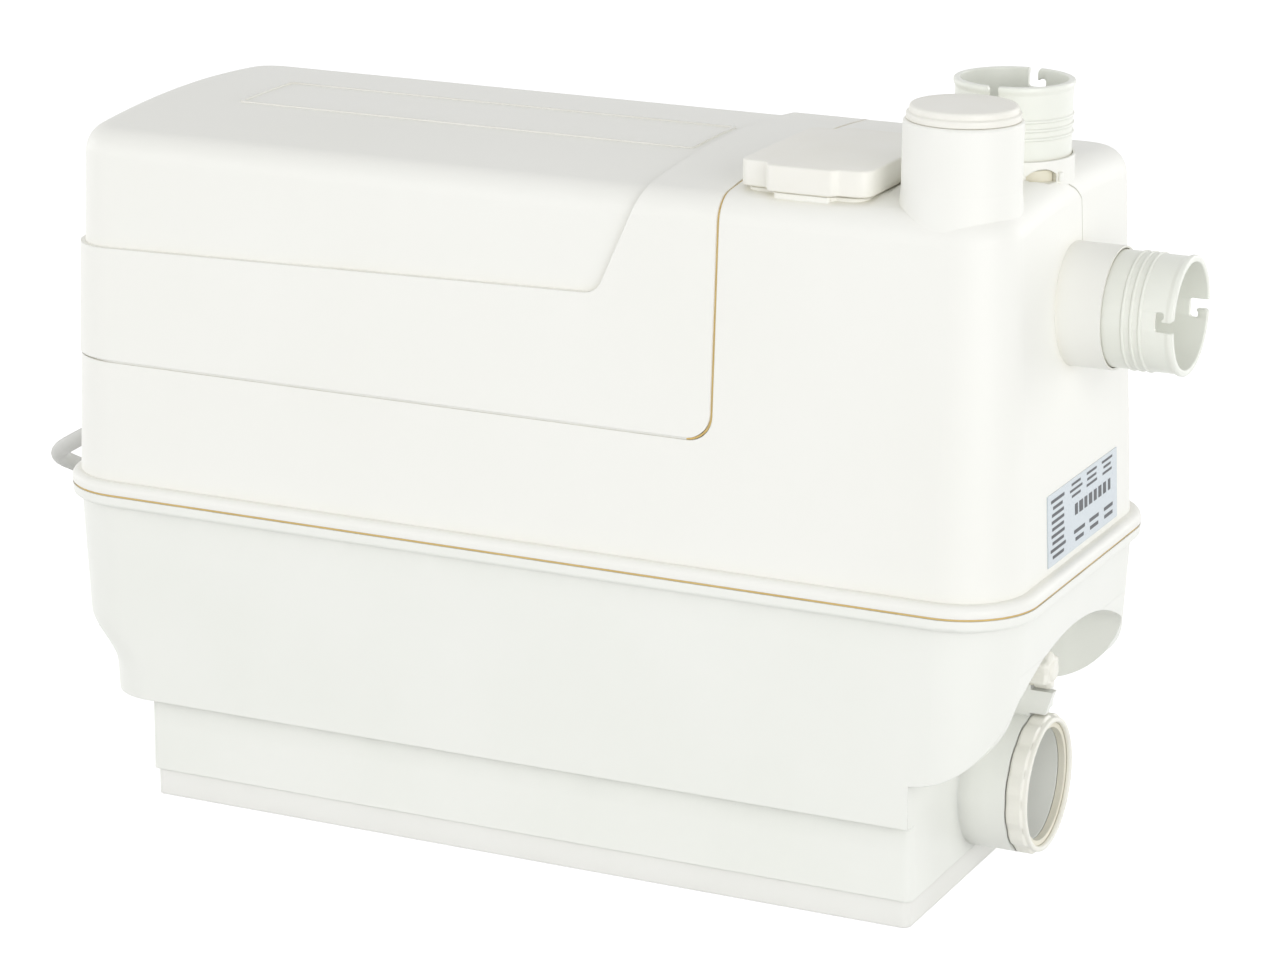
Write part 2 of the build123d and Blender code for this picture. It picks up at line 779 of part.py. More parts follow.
# Inspection cap with its gasket
with BuildPart() as inspection_cap:
    add(cap_outline(cap_low_z, 0))
    extrude(amount=cap_top_z - cap_low_z)
    fillet(inspection_cap.faces().sort_by(Axis.Z)[-1].edges(), radius=1.5)
    with BuildSketch(Plane.XY.offset(cap_low_z)):
        with Locations((cap_x, cap_y)):
            RectangleRounded(hatch_width - 2 * slide_gap, hatch_depth - 2 * slide_gap,
                             cap_tab_corner - slide_gap)
    extrude(amount=-cap_plug_depth)
    with BuildSketch(Plane.XY.offset(cap_low_z - cap_plug_depth)):
        with Locations((cap_x, cap_y)):
            RectangleRounded(hatch_width - 5, hatch_depth - 5, cap_tab_corner - 1)
    extrude(amount=cap_plug_depth + cap_top_z - cap_low_z - 3, mode=Mode.SUBTRACT)
inspection_cap.part.label = "inspection_cap"
export_step(inspection_cap.part, "parts/inspection_cap.step")

with BuildPart() as cap_gasket:
    with BuildSketch(Plane.XY.offset(cap_low_z - cap_gasket_thick + seat_gap)):
        add(cap_outline(0, -cap_neck_set))
        with Locations((cap_x, cap_y)):
            RectangleRounded(hatch_width, hatch_depth, cap_tab_corner, mode=Mode.SUBTRACT)
    extrude(amount=cap_gasket_thick - seat_gap)
cap_gasket.part.label = "cap_gasket"
export_step(cap_gasket.part, "parts/cap_gasket.step")

# Union nut and thrust seal of the low inlet
with BuildPart() as low_seal:
    low_seal_x = nut_end_x - nut_lip - low_seal_thick
    add(along_x(ring(low_seal_x - seat_gap, nut_end_x - nut_lip - seat_gap, low_thread,
                      low_bore + slide_gap), 0, low_z))
low_seal.part.label = "low_inlet_seal"
export_step(low_seal.part, "parts/low_inlet_seal.step")

with BuildPart() as low_nut:
    with BuildSketch(Plane.XY.offset(nut_x)):
        add(lobed(0, low_outer, nut_flute, nut_flutes))
    extrude(amount=nut_end_x - nut_x)
    with BuildSketch(Plane.XY.offset(nut_x)):
        Circle(low_thread + slide_gap)
    extrude(amount=nut_end_x - nut_lip - nut_x, mode=Mode.SUBTRACT)
    with BuildSketch(Plane.XY.offset(nut_x)):
        Circle(low_thread - nut_lip)
    extrude(amount=nut_end_x - nut_x, mode=Mode.SUBTRACT)
with BuildPart() as low_inlet_nut:
    add(along_x(low_nut.part, 0, low_z))
low_inlet_nut.part.label = "low_inlet_nut"
export_step(low_inlet_nut.part, "parts/low_inlet_nut.step")

# Drain cap and its washer
with BuildPart() as drain_ring:
    add(along_x(ring(nut_x, nut_x + drain_washer, drain_stub, drain_thread + slide_gap), 0, drain_z))
drain_ring.part.label = "drain_washer"
export_step(drain_ring.part, "parts/drain_washer.step")

with BuildPart() as drain_knob:
    knob_x = nut_x + drain_washer + seat_gap
    with BuildSketch(Plane.XY.offset(knob_x)):
        add(lobed(0, drain_cap_radius, drain_flute, 6))
    extrude(amount=drain_end_x - knob_x)
    with BuildSketch(Plane.XY.offset(knob_x)):
        Circle(drain_thread + slide_gap)
    extrude(amount=nut_x + 4 + slide_gap - knob_x, mode=Mode.SUBTRACT)
with BuildPart() as drain_cap:
    add(along_x(drain_knob.part, 0, drain_z))
drain_cap.part.label = "drain_cap"
export_step(drain_cap.part, "parts/drain_cap.step")

# Blank rating plate that follows the right wall
plate_low_x = upper_sides(plate_low_z, 0)[1]
plate_high_x = upper_sides(plate_high_z, 0)[1]
with BuildPart() as rating_plate:
    with BuildSketch(Plane.XZ.offset(-plate_high_y)):
        with BuildLine():
            Polyline((plate_low_x, plate_low_z), (plate_low_x + plate_thick, plate_low_z),
                     (plate_high_x + plate_thick, plate_high_z), (plate_high_x, plate_high_z), close=True)
        make_face()
    extrude(amount=plate_high_y - plate_low_y)
rating_plate.part.label = "rating_plate"
export_step(rating_plate.part, "parts/rating_plate.step")

# Motor housing, stator and end shield on the deck
motor_plane = Plane.XY.offset(deck_z)
stator_outer = motor_radius - motor_wall - seat_gap
with BuildPart() as motor_housing:
    with BuildSketch(motor_plane):
        with Locations((motor_x, 0)):
            Circle(motor_foot_radius)
    extrude(amount=motor_foot_thick)
    with BuildSketch(motor_plane):
        with Locations((motor_x, 0)):
            Circle(motor_radius)
            with PolarLocations(motor_radius, 24):
                Rectangle(4, 2)
    extrude(amount=motor_top_z - deck_z)
    with BuildSketch(motor_plane.offset(bearing_thick + motor_foot_thick)):
        with Locations((motor_x, 0)):
            Circle(motor_radius - motor_wall)
    extrude(amount=motor_top_z - deck_z, mode=Mode.SUBTRACT)
    with BuildSketch(motor_plane):
        with Locations((motor_x, 0)):
            Circle(bearing_outer + running_gap)
    extrude(amount=bearing_thick + motor_foot_thick, mode=Mode.SUBTRACT)
    with BuildSketch(motor_plane):
        with Locations((motor_x, 0)):
            with PolarLocations(screw_circle, 4, start_angle=45):
                Circle(screw_radius + running_gap)
    extrude(amount=motor_foot_thick, mode=Mode.SUBTRACT)
motor_housing.part.label = "motor_housing"
export_step(motor_housing.part, "parts/motor_housing.step")

with BuildPart() as motor_screws:
    with BuildSketch(Plane.XY.offset(deck_low_z)):
        with Locations((motor_x, 0)):
            with PolarLocations(screw_circle, 4, start_angle=45):
                Circle(screw_radius)
    extrude(amount=deck_thick + motor_foot_thick)
    with BuildSketch(motor_plane.offset(motor_foot_thick)):
        with Locations((motor_x, 0)):
            with PolarLocations(screw_circle, 4, start_angle=45):
                Circle(screw_head)
    extrude(amount=screw_head_height)
motor_screws.part.label = "motor_screws"
export_step(motor_screws.part, "parts/motor_screws.step")

with BuildPart() as stator:
    add(Location((motor_x, 0, 0)) * ring(stator_low_z, stator_high_z, stator_outer, stator_bore))
stator.part.label = "stator"
export_step(stator.part, "parts/stator.step")

shield_seat = bearing_outer + running_gap
with BuildPart() as end_shield:
    add(Location((motor_x, 0, 0)) * ring(motor_top_z, motor_top_z + end_shield_thick, motor_radius,
                                         shield_seat))
end_shield.part.label = "motor_end_shield"
export_step(end_shield.part, "parts/motor_end_shield.step")

# Bearings and the shaft seal
bearing_bore = shaft_radius + running_gap
with BuildPart() as bearings:
    low_bearing_z = deck_z + motor_foot_thick
    add(Location((motor_x, 0, 0)) * ring(low_bearing_z, low_bearing_z + bearing_thick, bearing_outer,
                                         bearing_bore))
    add(Location((motor_x, 0, 0)) * ring(motor_top_z + end_shield_thick - bearing_thick,
                                         motor_top_z + end_shield_thick, bearing_outer, bearing_bore))
bearings.part.label = "bearings"
export_step(bearings.part, "parts/bearings.step")

with BuildPart() as shaft_seal:
    add(Location((motor_x, 0, 0)) * ring(deck_low_z, deck_z + motor_foot_thick - seat_gap, seal_outer,
                                         bearing_bore))
shaft_seal.part.label = "shaft_seal"
export_step(shaft_seal.part, "parts/shaft_seal.step")

# Rotating parts: shaft, rotor core, cooling fan and impeller
with BuildPart() as shaft:
    with BuildSketch(Plane.XY.offset(shaft_low_z)):
        with Locations((motor_x, 0)):
            Circle(shaft_radius)
    extrude(amount=shaft_high_z - shaft_low_z)
    chamfer(shaft.edges().filter_by(GeomType.CIRCLE), length=0.6)
shaft.part.label = "shaft"
export_step(shaft.part, "parts/shaft.step")

with BuildPart() as rotor_core:
    add(Location((motor_x, 0, 0)) * ring(stator_low_z, stator_high_z, stator_bore - rotor_gap,
                                         shaft_radius))
rotor_core.part.label = "rotor_core"
export_step(rotor_core.part, "parts/rotor_core.step")

fan_low_z = shaft_high_z - fan_thick - 2
with BuildPart() as cooling_fan:
    with BuildSketch(Plane.XY.offset(fan_low_z)):
        with Locations((motor_x, 0)):
            Circle(shaft_radius + 5)
            with PolarLocations((fan_radius + shaft_radius + 2) / 2, 9):
                Rectangle(fan_radius - shaft_radius - 2, 2)
            Circle(shaft_radius, mode=Mode.SUBTRACT)
    extrude(amount=fan_thick)
    with BuildSketch(Plane.XY.offset(fan_low_z)):
        with Locations((motor_x, 0)):
            Circle(fan_radius)
            Circle(shaft_radius, mode=Mode.SUBTRACT)
    extrude(amount=1.5)
cooling_fan.part.label = "cooling_fan"
export_step(cooling_fan.part, "parts/cooling_fan.step")

with BuildPart() as impeller:
    with BuildSketch(Plane.XY.offset(impeller_low_z)):
        with Locations((motor_x, 0)):
            Circle(impeller_radius)
            Circle(shaft_radius, mode=Mode.SUBTRACT)
    extrude(amount=3)
    with BuildSketch(Plane.XY.offset(impeller_low_z)):
        with Locations((motor_x, 0)):
            Circle(shaft_radius + 4)
            with PolarLocations((impeller_radius + shaft_radius) / 2, 7):
                Rectangle(impeller_radius - shaft_radius - 1, 2.5)
            Circle(shaft_radius, mode=Mode.SUBTRACT)
    extrude(amount=impeller_thick)
impeller.part.label = "impeller"
export_step(impeller.part, "parts/impeller.step")

# Pump casing on the tank floor, hung from the deck by its column
volute_floor = volute_low_z + volute_wall
volute_roof = volute_high_z - volute_wall
tank_floor = pad_height + tank_wall
with BuildPart() as pump_casing:
    with BuildSketch(Plane.XY.offset(volute_low_z)):
        with Locations((motor_x, 0)):
            Circle(volute_outer)
    extrude(amount=volute_high_z - volute_low_z)
    with BuildSketch(Plane.YZ.offset(motor_x)):
        with Locations((0, pipe_level)):
            Circle(pipe_outer)
    extrude(amount=volute_outer + volute_nozzle)
    with BuildSketch(Plane.XY.offset(tank_floor)):
        with Locations((motor_x, 0)):
            with PolarLocations(volute_outer - 2 * pump_foot_radius, 3):
                Circle(pump_foot_radius)
    extrude(amount=volute_low_z - tank_floor)
    with BuildSketch(Plane.XY.offset(volute_floor)):
        with Locations((motor_x, 0)):
            Circle(volute_outer - volute_wall)
    extrude(amount=volute_roof - volute_floor, mode=Mode.SUBTRACT)
    with BuildSketch(Plane.XY.offset(volute_low_z)):
        with Locations((motor_x, 0)):
            Circle(suction_radius)
    extrude(amount=volute_wall, mode=Mode.SUBTRACT)
    with BuildSketch(Plane.XY.offset(volute_roof)):
        with Locations((motor_x, 0)):
            Circle(shaft_radius + slide_gap)
    extrude(amount=volute_wall, mode=Mode.SUBTRACT)
    with BuildSketch(Plane.YZ.offset(motor_x + volute_outer - 2 * volute_wall)):
        with Locations((0, pipe_level)):
            Circle(pipe_bore)
    extrude(amount=2 * volute_wall + volute_nozzle, mode=Mode.SUBTRACT)
pump_casing.part.label = "pump_casing"
export_step(pump_casing.part, "parts/pump_casing.step")

with BuildPart() as pump_column:
    add(Location((motor_x, 0, 0)) * ring(volute_high_z, deck_low_z, column_outer, column_bore))
    with BuildSketch(Plane.YZ.offset(motor_x - 2 * column_outer)):
        with Locations((0, (volute_high_z + deck_low_z) / 2)):
            SlotOverall(16, 8, rotation=90)
    extrude(amount=4 * column_outer, mode=Mode.SUBTRACT)
pump_column.part.label = "pump_column"
export_step(pump_column.part, "parts/pump_column.step")

# Discharge pipe from the pump to the non-return valve
pipe_start = motor_x + volute_outer + volute_nozzle
with BuildPart() as discharge_pipe:
    with BuildLine():
        FilletPolyline((pipe_start, 0, pipe_level), (riser_x, 0, pipe_level), (riser_x, 0, pipe_turn_z),
                       (outlet_x, 0, pipe_turn_z), (outlet_x, 0, valve_foot_z), radius=pipe_bend)
    with BuildSketch(Plane.YZ.offset(pipe_start)):
        with Locations((0, pipe_level)):
            Circle(pipe_outer)
            Circle(pipe_bore, mode=Mode.SUBTRACT)
    sweep()
discharge_pipe.part.label = "discharge_pipe"
export_step(discharge_pipe.part, "parts/discharge_pipe.step")

# Non-return valve: body, hinge pin and flap
seat_z = valve_foot_z + 6
hinge_x = outlet_x - flap_radius - flap_pin_radius - 1
hinge_z = seat_z + slide_gap + flap_pin_radius + 1
with BuildPart() as valve_body:
    add(Location((outlet_x, 0, 0)) * ring(valve_foot_z, tee_foot_z, tee_outer, valve_chamber))
    add(Location((outlet_x, 0, 0)) * ring(valve_foot_z, seat_z, tee_outer, pipe_bore - 1.5))
    with BuildSketch(Plane.XZ.offset(-tee_outer)):
        with Locations((hinge_x, hinge_z)):
            Circle(flap_pin_radius + running_gap)
    extrude(amount=2 * tee_outer, mode=Mode.SUBTRACT)
valve_body.part.label = "valve_body"
export_step(valve_body.part, "parts/valve_body.step")

pin_half = sqrt(tee_outer ** 2 - (outlet_x - hinge_x) ** 2)
with BuildPart() as flap_pin:
    with BuildSketch(Plane.XZ.offset(-pin_half)):
        with Locations((hinge_x, hinge_z)):
            Circle(flap_pin_radius)
    extrude(amount=2 * pin_half)
flap_pin.part.label = "flap_pin"
export_step(flap_pin.part, "parts/flap_pin.step")

with BuildPart() as valve_flap:
    with BuildSketch(Plane.XY.offset(seat_z + slide_gap)):
        with Locations((outlet_x, 0)):
            Circle(flap_radius)
        with Locations(((hinge_x + outlet_x) / 2, 0)):
            Rectangle(outlet_x - hinge_x, 8)
    extrude(amount=flap_thick)
    with BuildSketch(Plane.XZ.offset(-4)):
        with Locations((hinge_x, hinge_z)):
            Circle(flap_pin_radius + 1)
    extrude(amount=8)
    with BuildSketch(Plane.XZ.offset(-4)):
        with Locations((hinge_x, hinge_z)):
            Circle(flap_pin_radius + running_gap)
    extrude(amount=8, mode=Mode.SUBTRACT)
valve_flap.part.label = "valve_flap"
export_step(valve_flap.part, "parts/valve_flap.step")

# Tee that feeds both outlets
tee_top_z = collar_top_z - sleeve_spigot - seal_length
tee_end_x = boss_end_x - sleeve_spigot - seal_length
with BuildPart() as outlet_tee:
    with BuildSketch(Plane.XY.offset(tee_foot_z)):
        with Locations((outlet_x, 0)):
            Circle(tee_outer)
    extrude(amount=tee_top_z - tee_foot_z)
    with BuildSketch(Plane.YZ.offset(outlet_x)):
        with Locations((0, outlet_z)):
            Circle(tee_outer)
    extrude(amount=tee_end_x - outlet_x)
    with BuildSketch(Plane.XY.offset(tee_foot_z)):
        with Locations((outlet_x, 0)):
            Circle(tee_bore)
    extrude(amount=tee_top_z - tee_foot_z, mode=Mode.SUBTRACT)
    with BuildSketch(Plane.YZ.offset(outlet_x)):
        with Locations((0, outlet_z)):
            Circle(tee_bore)
    extrude(amount=tee_end_x - outlet_x, mode=Mode.SUBTRACT)
outlet_tee.part.label = "outlet_tee"
export_step(outlet_tee.part, "parts/outlet_tee.step")

# Level bell in the tank and the pressure switch over it
with BuildPart() as level_bell:
    add(Location((bell_x, bell_y, 0)) * ring(bell_low_z, deck_low_z, bell_outer, bell_outer - bell_wall))
level_bell.part.label = "level_bell"
export_step(level_bell.part, "parts/level_bell.step")

with BuildPart() as level_switch:
    with BuildSketch(motor_plane):
        with Locations((bell_x, bell_y)):
            Circle(switch_radius)
    extrude(amount=switch_height)
    with BuildSketch(motor_plane.offset(switch_height)):
        with Locations((bell_x, bell_y)):
            Rectangle(switch_radius, switch_radius / 2)
    extrude(amount=switch_height / 2)
level_switch.part.label = "level_switch"
export_step(level_switch.part, "parts/level_switch.step")

# Carbon filter on the vent, control box and motor capacitor
with BuildPart() as carbon_filter:
    with BuildSketch(motor_plane):
        with Locations((filter_x, filter_y)):
            Circle(filter_radius)
    extrude(amount=filter_height)
    with BuildSketch(motor_plane):
        with Locations((filter_x, filter_y)):
            Circle(vent_radius)
    extrude(amount=filter_height, mode=Mode.SUBTRACT)
carbon_filter.part.label = "carbon_filter"
export_step(carbon_filter.part, "parts/carbon_filter.step")

with BuildPart() as control_box:
    with BuildSketch(motor_plane):
        with Locations((box_x, 0)):
            RectangleRounded(box_length, box_depth, 4)
    extrude(amount=box_height)
    chamfer(control_box.faces().sort_by(Axis.Z)[-1].edges(), length=1.5)
control_box.part.label = "control_box"
export_step(control_box.part, "parts/control_box.step")

with BuildPart() as capacitor:
    with BuildSketch(motor_plane):
        with Locations((capacitor_x, capacitor_y)):
            Circle(capacitor_radius)
    extrude(amount=capacitor_height)
    fillet(capacitor.faces().sort_by(Axis.Z)[-1].edges(), radius=2)
capacitor.part.label = "capacitor"
export_step(capacitor.part, "parts/capacitor.step")

# Cable gland with its tapered strain relief
relief_start = gland_boss_length + gland_collar
with BuildPart() as cable_gland:
    with BuildSketch(gland_plane.offset(-10)):
        Circle(gland_shank)
    extrude(amount=10 + gland_boss_length)
    with BuildSketch(gland_plane.offset(gland_boss_length)):
        Circle(gland_boss)
    extrude(amount=gland_collar)
    with BuildSketch(gland_plane.offset(relief_start)):
        Circle(gland_shank)
    with BuildSketch(gland_plane.offset(relief_start + gland_relief)):
        Circle(cord_diameter / 2 + 0.5)
    loft()
cable_gland.part.label = "cable_gland"
export_step(cable_gland.part, "parts/cable_gland.step")

# Mains lead: a free stretch from the gland, a coil on the floor and a short tail to the plug
cord_radius = cord_diameter / 2
cord_exit = gland_plane.offset(relief_start + gland_relief).origin
coil_start = Vector(-62, 190, cord_radius)
lead_points = [
    cord_exit,
    cord_exit + Vector(-14.8, 0, -8.55),
    cord_exit + Vector(-28.1, 7.1, -16.2),
    cord_exit + Vector(-36.8, 19.9, -23.4),
    cord_exit + Vector(-38.9, 37.0, -31.4),
    cord_exit + Vector(-35.0, 58.7, -43.2),
    cord_exit + Vector(-26.7, 84.2, -60.6),
    cord_exit + Vector(-15.2, 112.7, -82.0),
    Vector(-206.5, 142.5, 17.5),
    Vector(-184.0, 166.5, 7.0),
    Vector(-154.0, 181.5, 4.0),
    Vector(-122.0, 188.2, cord_radius),
    Vector(-92.0, 190.0, cord_radius),
    coil_start,
]


def corner_radii(points):
    """The largest arc that each corner of a route has room for."""
    radii = []
    for before, here, after in zip(points, points[1:], points[2:]):
        first = here - before
        second = after - here
        half_turn = radians(first.get_angle(second)) / 2
        radii.append(0.45 * min(first.length, second.length) / tan(half_turn))
    return radii


def cord_along(points, name):
    """A round cord along a route, with its length checked against its volume."""
    radii = corner_radii(points)
    with BuildPart() as part:
        with BuildLine() as route:
            FilletPolyline(*points, radius=radii)
        with BuildSketch(Plane(origin=points[0], z_dir=points[1] - points[0])):
            Circle(cord_radius)
        sweep()
    length = sum(edge.length for edge in route.edges())
    print(name, "radii", [round(r, 1) for r in radii])
    print(name, "length", round(length, 1), "volume share",
          round(part.part.volume / (pi * cord_radius ** 2 * length), 4))
    return part.part, length


with BuildPart() as mains_cord:
    lead, lead_length = cord_along(lead_points, "lead")
    add(lead)
mains_cord.part.label = "mains_cord"
export_step(mains_cord.part, "parts/mains_cord.step")

# Coil: the loops spiral in, climb a layer and spiral out again
coil_x = coil_start.X + cord_diameter
coil_y = coil_start.Y - coil_radius
low_layer = cord_radius
high_layer = low_layer + coil_pitch
stops = []
for i in range(4):
    stops.append((coil_radius - i * coil_pitch / 2, low_layer))
for i in range(4):
    stops.append((coil_radius - (3 - i) * coil_pitch / 2, high_layer))
crossings = [Vector(coil_x, coil_y + (1 if i % 2 == 0 else -1) * r, z) for i, (r, z) in enumerate(stops)]
coil_end = crossings[-1] - Vector(cord_diameter, 0, 0)
with BuildPart() as cord_coil:
    with BuildLine() as coil_route:
        Line(coil_start, crossings[0])
        for i, (near, far) in enumerate(zip(crossings, crossings[1:])):
            side = 1 if i % 2 == 0 else -1
            middle = (near + far) / 2 + Vector(side * (far - near).length / 2, 0, 0)
            ThreePointArc(near, middle, far)
        Line(crossings[-1], coil_end)
    with BuildSketch(Plane(origin=coil_start, z_dir=(1, 0, 0))):
        Circle(cord_radius)
    sweep()
cord_coil.part.label = "cord_coil"
export_step(cord_coil.part, "parts/cord_coil.step")
coil_length = sum(edge.length for edge in coil_route.edges())

samples = []
for edge in coil_route.edges():
    count = max(2, int(edge.length / 2))
    samples += [edge @ (k / count) for k in range(count)]
apart = int(pi * coil_radius / 2)
least = min((a - b).length for i, a in enumerate(samples) for b in samples[i + apart // 2:])
print("coil length", round(coil_length, 1), "volume share",
      round(cord_coil.part.volume / (pi * cord_radius ** 2 * coil_length), 4),
      "least gap", round(least - cord_diameter, 2))

# Tail of the lead and the plug that lies on the floor
plug_end = coil_end + Vector(-52, 0, 0)
plug_face = Vector(plug_end.X, plug_end.Y, plug_radius)
tail_points = [
    coil_end,
    coil_end + Vector(-14, 0, 0),
    plug_face + Vector(14, 0, 0),
    plug_face,
]
with BuildPart() as cord_tail:
    tail, tail_length = cord_along(tail_points, "tail")
    add(tail)
cord_tail.part.label = "cord_tail"
export_step(cord_tail.part, "parts/cord_tail.step")
print("whole lead", round(lead_length + coil_length + tail_length, 1))

plug_plane = Plane(origin=plug_face, x_dir=(0, 1, 0), z_dir=(-1, 0, 0))
with BuildPart() as mains_plug:
    with BuildSketch(plug_plane):
        Circle(cord_radius + 1)
    with BuildSketch(plug_plane.offset(plug_neck)):
        Circle(plug_radius * 0.6)
    loft()
    with BuildSketch(plug_plane.offset(plug_neck)):
        Circle(plug_radius)
    extrude(amount=plug_body)
    fillet(mains_plug.edges().filter_by(GeomType.CIRCLE).group_by(Axis.X)[1], radius=3)
    with BuildSketch(plug_plane.offset(plug_neck + plug_body)):
        with GridLocations(plug_pin_spread, 1, 2, 1):
            Circle(plug_pin)
    extrude(amount=plug_pin_length)
mains_plug.part.label = "mains_plug"
export_step(mains_plug.part, "parts/mains_plug.step")
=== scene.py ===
"""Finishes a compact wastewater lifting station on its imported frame.

Sizes in the classes are millimetres, and become metres when a mesh is made. Every piece is built
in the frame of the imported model, so a finished object sits at the origin.
"""
from __future__ import annotations

import logging
import math
from collections.abc import Sequence
from dataclasses import dataclass
from enum import Enum
from functools import cache

import bmesh
import bpy
from mathutils import Matrix, Vector


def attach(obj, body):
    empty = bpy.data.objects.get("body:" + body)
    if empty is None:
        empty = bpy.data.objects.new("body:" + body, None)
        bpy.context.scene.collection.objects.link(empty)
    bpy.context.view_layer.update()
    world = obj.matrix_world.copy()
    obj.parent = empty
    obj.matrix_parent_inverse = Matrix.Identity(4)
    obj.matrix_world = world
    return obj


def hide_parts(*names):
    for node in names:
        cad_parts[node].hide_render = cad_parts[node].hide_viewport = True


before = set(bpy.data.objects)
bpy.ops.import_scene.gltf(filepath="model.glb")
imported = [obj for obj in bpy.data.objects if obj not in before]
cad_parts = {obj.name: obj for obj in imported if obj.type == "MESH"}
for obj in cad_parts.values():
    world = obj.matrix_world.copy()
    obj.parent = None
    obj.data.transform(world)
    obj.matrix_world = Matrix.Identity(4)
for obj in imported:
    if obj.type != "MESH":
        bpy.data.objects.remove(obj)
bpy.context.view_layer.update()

LOG = logging.getLogger("lifting_station")
MM = 0.001
FLOAT, INT, VECTOR = "NodeSocketFloat", "NodeSocketInt", "NodeSocketVector"
Colour = tuple[float, float, float]
Corner = tuple[float, float, float]
Flat = tuple[float, float]
Point = tuple[float, float, float]
Piece = bpy.types.Object
Socket = bpy.types.NodeSocket
Tree = bpy.types.NodeTree


def tone(*levels: int) -> Colour:
    """Turns an 8-bit display colour, given as red, green and blue, into linear values."""
    shares = (level / 255 for level in levels)
    return tuple(s / 12.92 if s <= 0.04045 else ((s + 0.055) / 1.055) ** 2.4 for s in shares)


# ---------------------------------------------------------------- node graphs


class Graph:
    """A node tree that is being filled."""

    def __init__(self, tree: Tree) -> None:
        """Keeps the tree."""
        self.tree = tree

    @classmethod
    def of(cls, owner: bpy.types.ID) -> Graph:
        """Starts the empty node tree of a material or a world.

        Args:
            owner: The material or the world.

        Returns:
            Its graph.
        """
        owner.use_nodes = True
        owner.node_tree.nodes.clear()
        return cls(owner.node_tree)

    def add(self, kind: str, inputs: dict[int | str, object] | None = None,
            **settings: object) -> bpy.types.Node:
        """Adds a node, with its settings first and then its inputs.

        Args:
            kind: The node's type name.
            inputs: Socket name or number, and the value or socket that feeds it.
            **settings: The node's own options.

        Returns:
            The new node.
        """
        node = self.tree.nodes.new(kind)
        for name, value in settings.items():
            setattr(node, name, value)
        for key, value in (inputs or {}).items():
            self.feed(node.inputs[key], value)
        return node

    def feed(self, socket: Socket, value: object) -> None:
        """Joins a socket to another, or sets its value.

        Args:
            socket: The socket that is fed.
            value: What feeds it.
        """
        if isinstance(value, bpy.types.NodeSocket):
            self.tree.links.new(value, socket)
        else:
            socket.default_value = value

    def sockets(self, way: str, wanted: dict[str, tuple[str, object]]) -> None:
        """Gives a group its sockets.

        Args:
            way: INPUT or OUTPUT.
            wanted: Each socket's name, with its type and default.
        """
        for label, (kind, default) in wanted.items():
            socket = self.tree.interface.new_socket(label, in_out=way, socket_type=kind)
            if default is not None:
                socket.default_value = default

    def maths(self, operation: str, *values: object) -> Socket:
        """The result of one Math node on numbers or sockets."""
        return self.add("ShaderNodeMath", dict(enumerate(values)), operation=operation).outputs[0]

    def product(self, *values: object) -> Socket:
        """The product of two numbers or sockets."""
        return self.maths("MULTIPLY", *values)

    def vector(self, **parts: object) -> Socket:
        """Joins X, Y and Z into a vector."""
        return self.add("ShaderNodeCombineXYZ", parts).outputs[0]

    def span(self, value: Socket, low: float, high: float, to_low: float, to_high: float) -> Socket:
        """Maps a value from the range low to high onto to_low to to_high, and clamps it."""
        inputs = dict(enumerate((value, low, high, to_low, to_high)))
        return self.add("ShaderNodeMapRange", inputs, clamp=True).outputs[0]

    def noise(self, place: Socket, scale: object, detail: float, roughness: float = 0.5) -> Socket:
        """Noise from 0 to 1, with scale waves in a metre and detail finer layers."""
        inputs = {"Vector": place, "Scale": scale, "Detail": detail, "Roughness": roughness}
        return self.add("ShaderNodeTexNoise", inputs).outputs[0]

    def blend(self, share: Socket, first: Socket | Colour, second: Socket | Colour) -> Socket:
        """Mixes two colours.

        Args:
            share: How much of the second shows.
            first: The first colour.
            second: The second colour.

        Returns:
            The mixed colour's socket.
        """
        node = self.add("ShaderNodeMix", {0: share}, data_type="RGBA")
        for number, colour in ((6, first), (7, second)):
            given = isinstance(colour, bpy.types.NodeSocket)
            self.feed(node.inputs[number], colour if given else (*colour, 1.0))
        return node.outputs[2]

    def effect(self, tree: Tree, **inputs: object) -> bpy.types.NodeOutputs:
        """Places a shared group, fed by input name with _ for a space, and gives its outputs."""
        named = {name.replace("_", " "): value for name, value in inputs.items()}
        return self.add("ShaderNodeGroup", named, node_tree=tree).outputs

    def end(self, kind: str, shader: Socket) -> None:
        """Joins a shader to a new output node of the kind."""
        self.add(kind, {"Surface": shader})


class ShaderEffect(Graph):
    """A shader node group that several materials share."""

    def __init__(self, name: str, inputs: dict[str, tuple[str, object]], outputs: dict[str, str]) -> None:
        """Makes the group with its sockets.

        Args:
            name: The group's name.
            inputs: Each further input's name, with its socket type and default.
            outputs: Each output's name, with its socket type.
        """
        super().__init__(bpy.data.node_groups.new(name, "ShaderNodeTree"))
        self.sockets("INPUT", {"Vector": (VECTOR, None)} | inputs)
        self.sockets("OUTPUT", {label: (kind, None) for label, kind in outputs.items()})
        self.source = self.tree.nodes.new("NodeGroupInput").outputs
        self.sink = self.tree.nodes.new("NodeGroupOutput").inputs
        self.place = self.source["Vector"]

    def close(self, **results: Socket) -> Tree:
        """Feeds the outputs.

        Args:
            **results: The socket that feeds each output, by name.

        Returns:
            The finished group.
        """
        for label, socket in results.items():
            self.feed(self.sink[label], socket)
        return self.tree


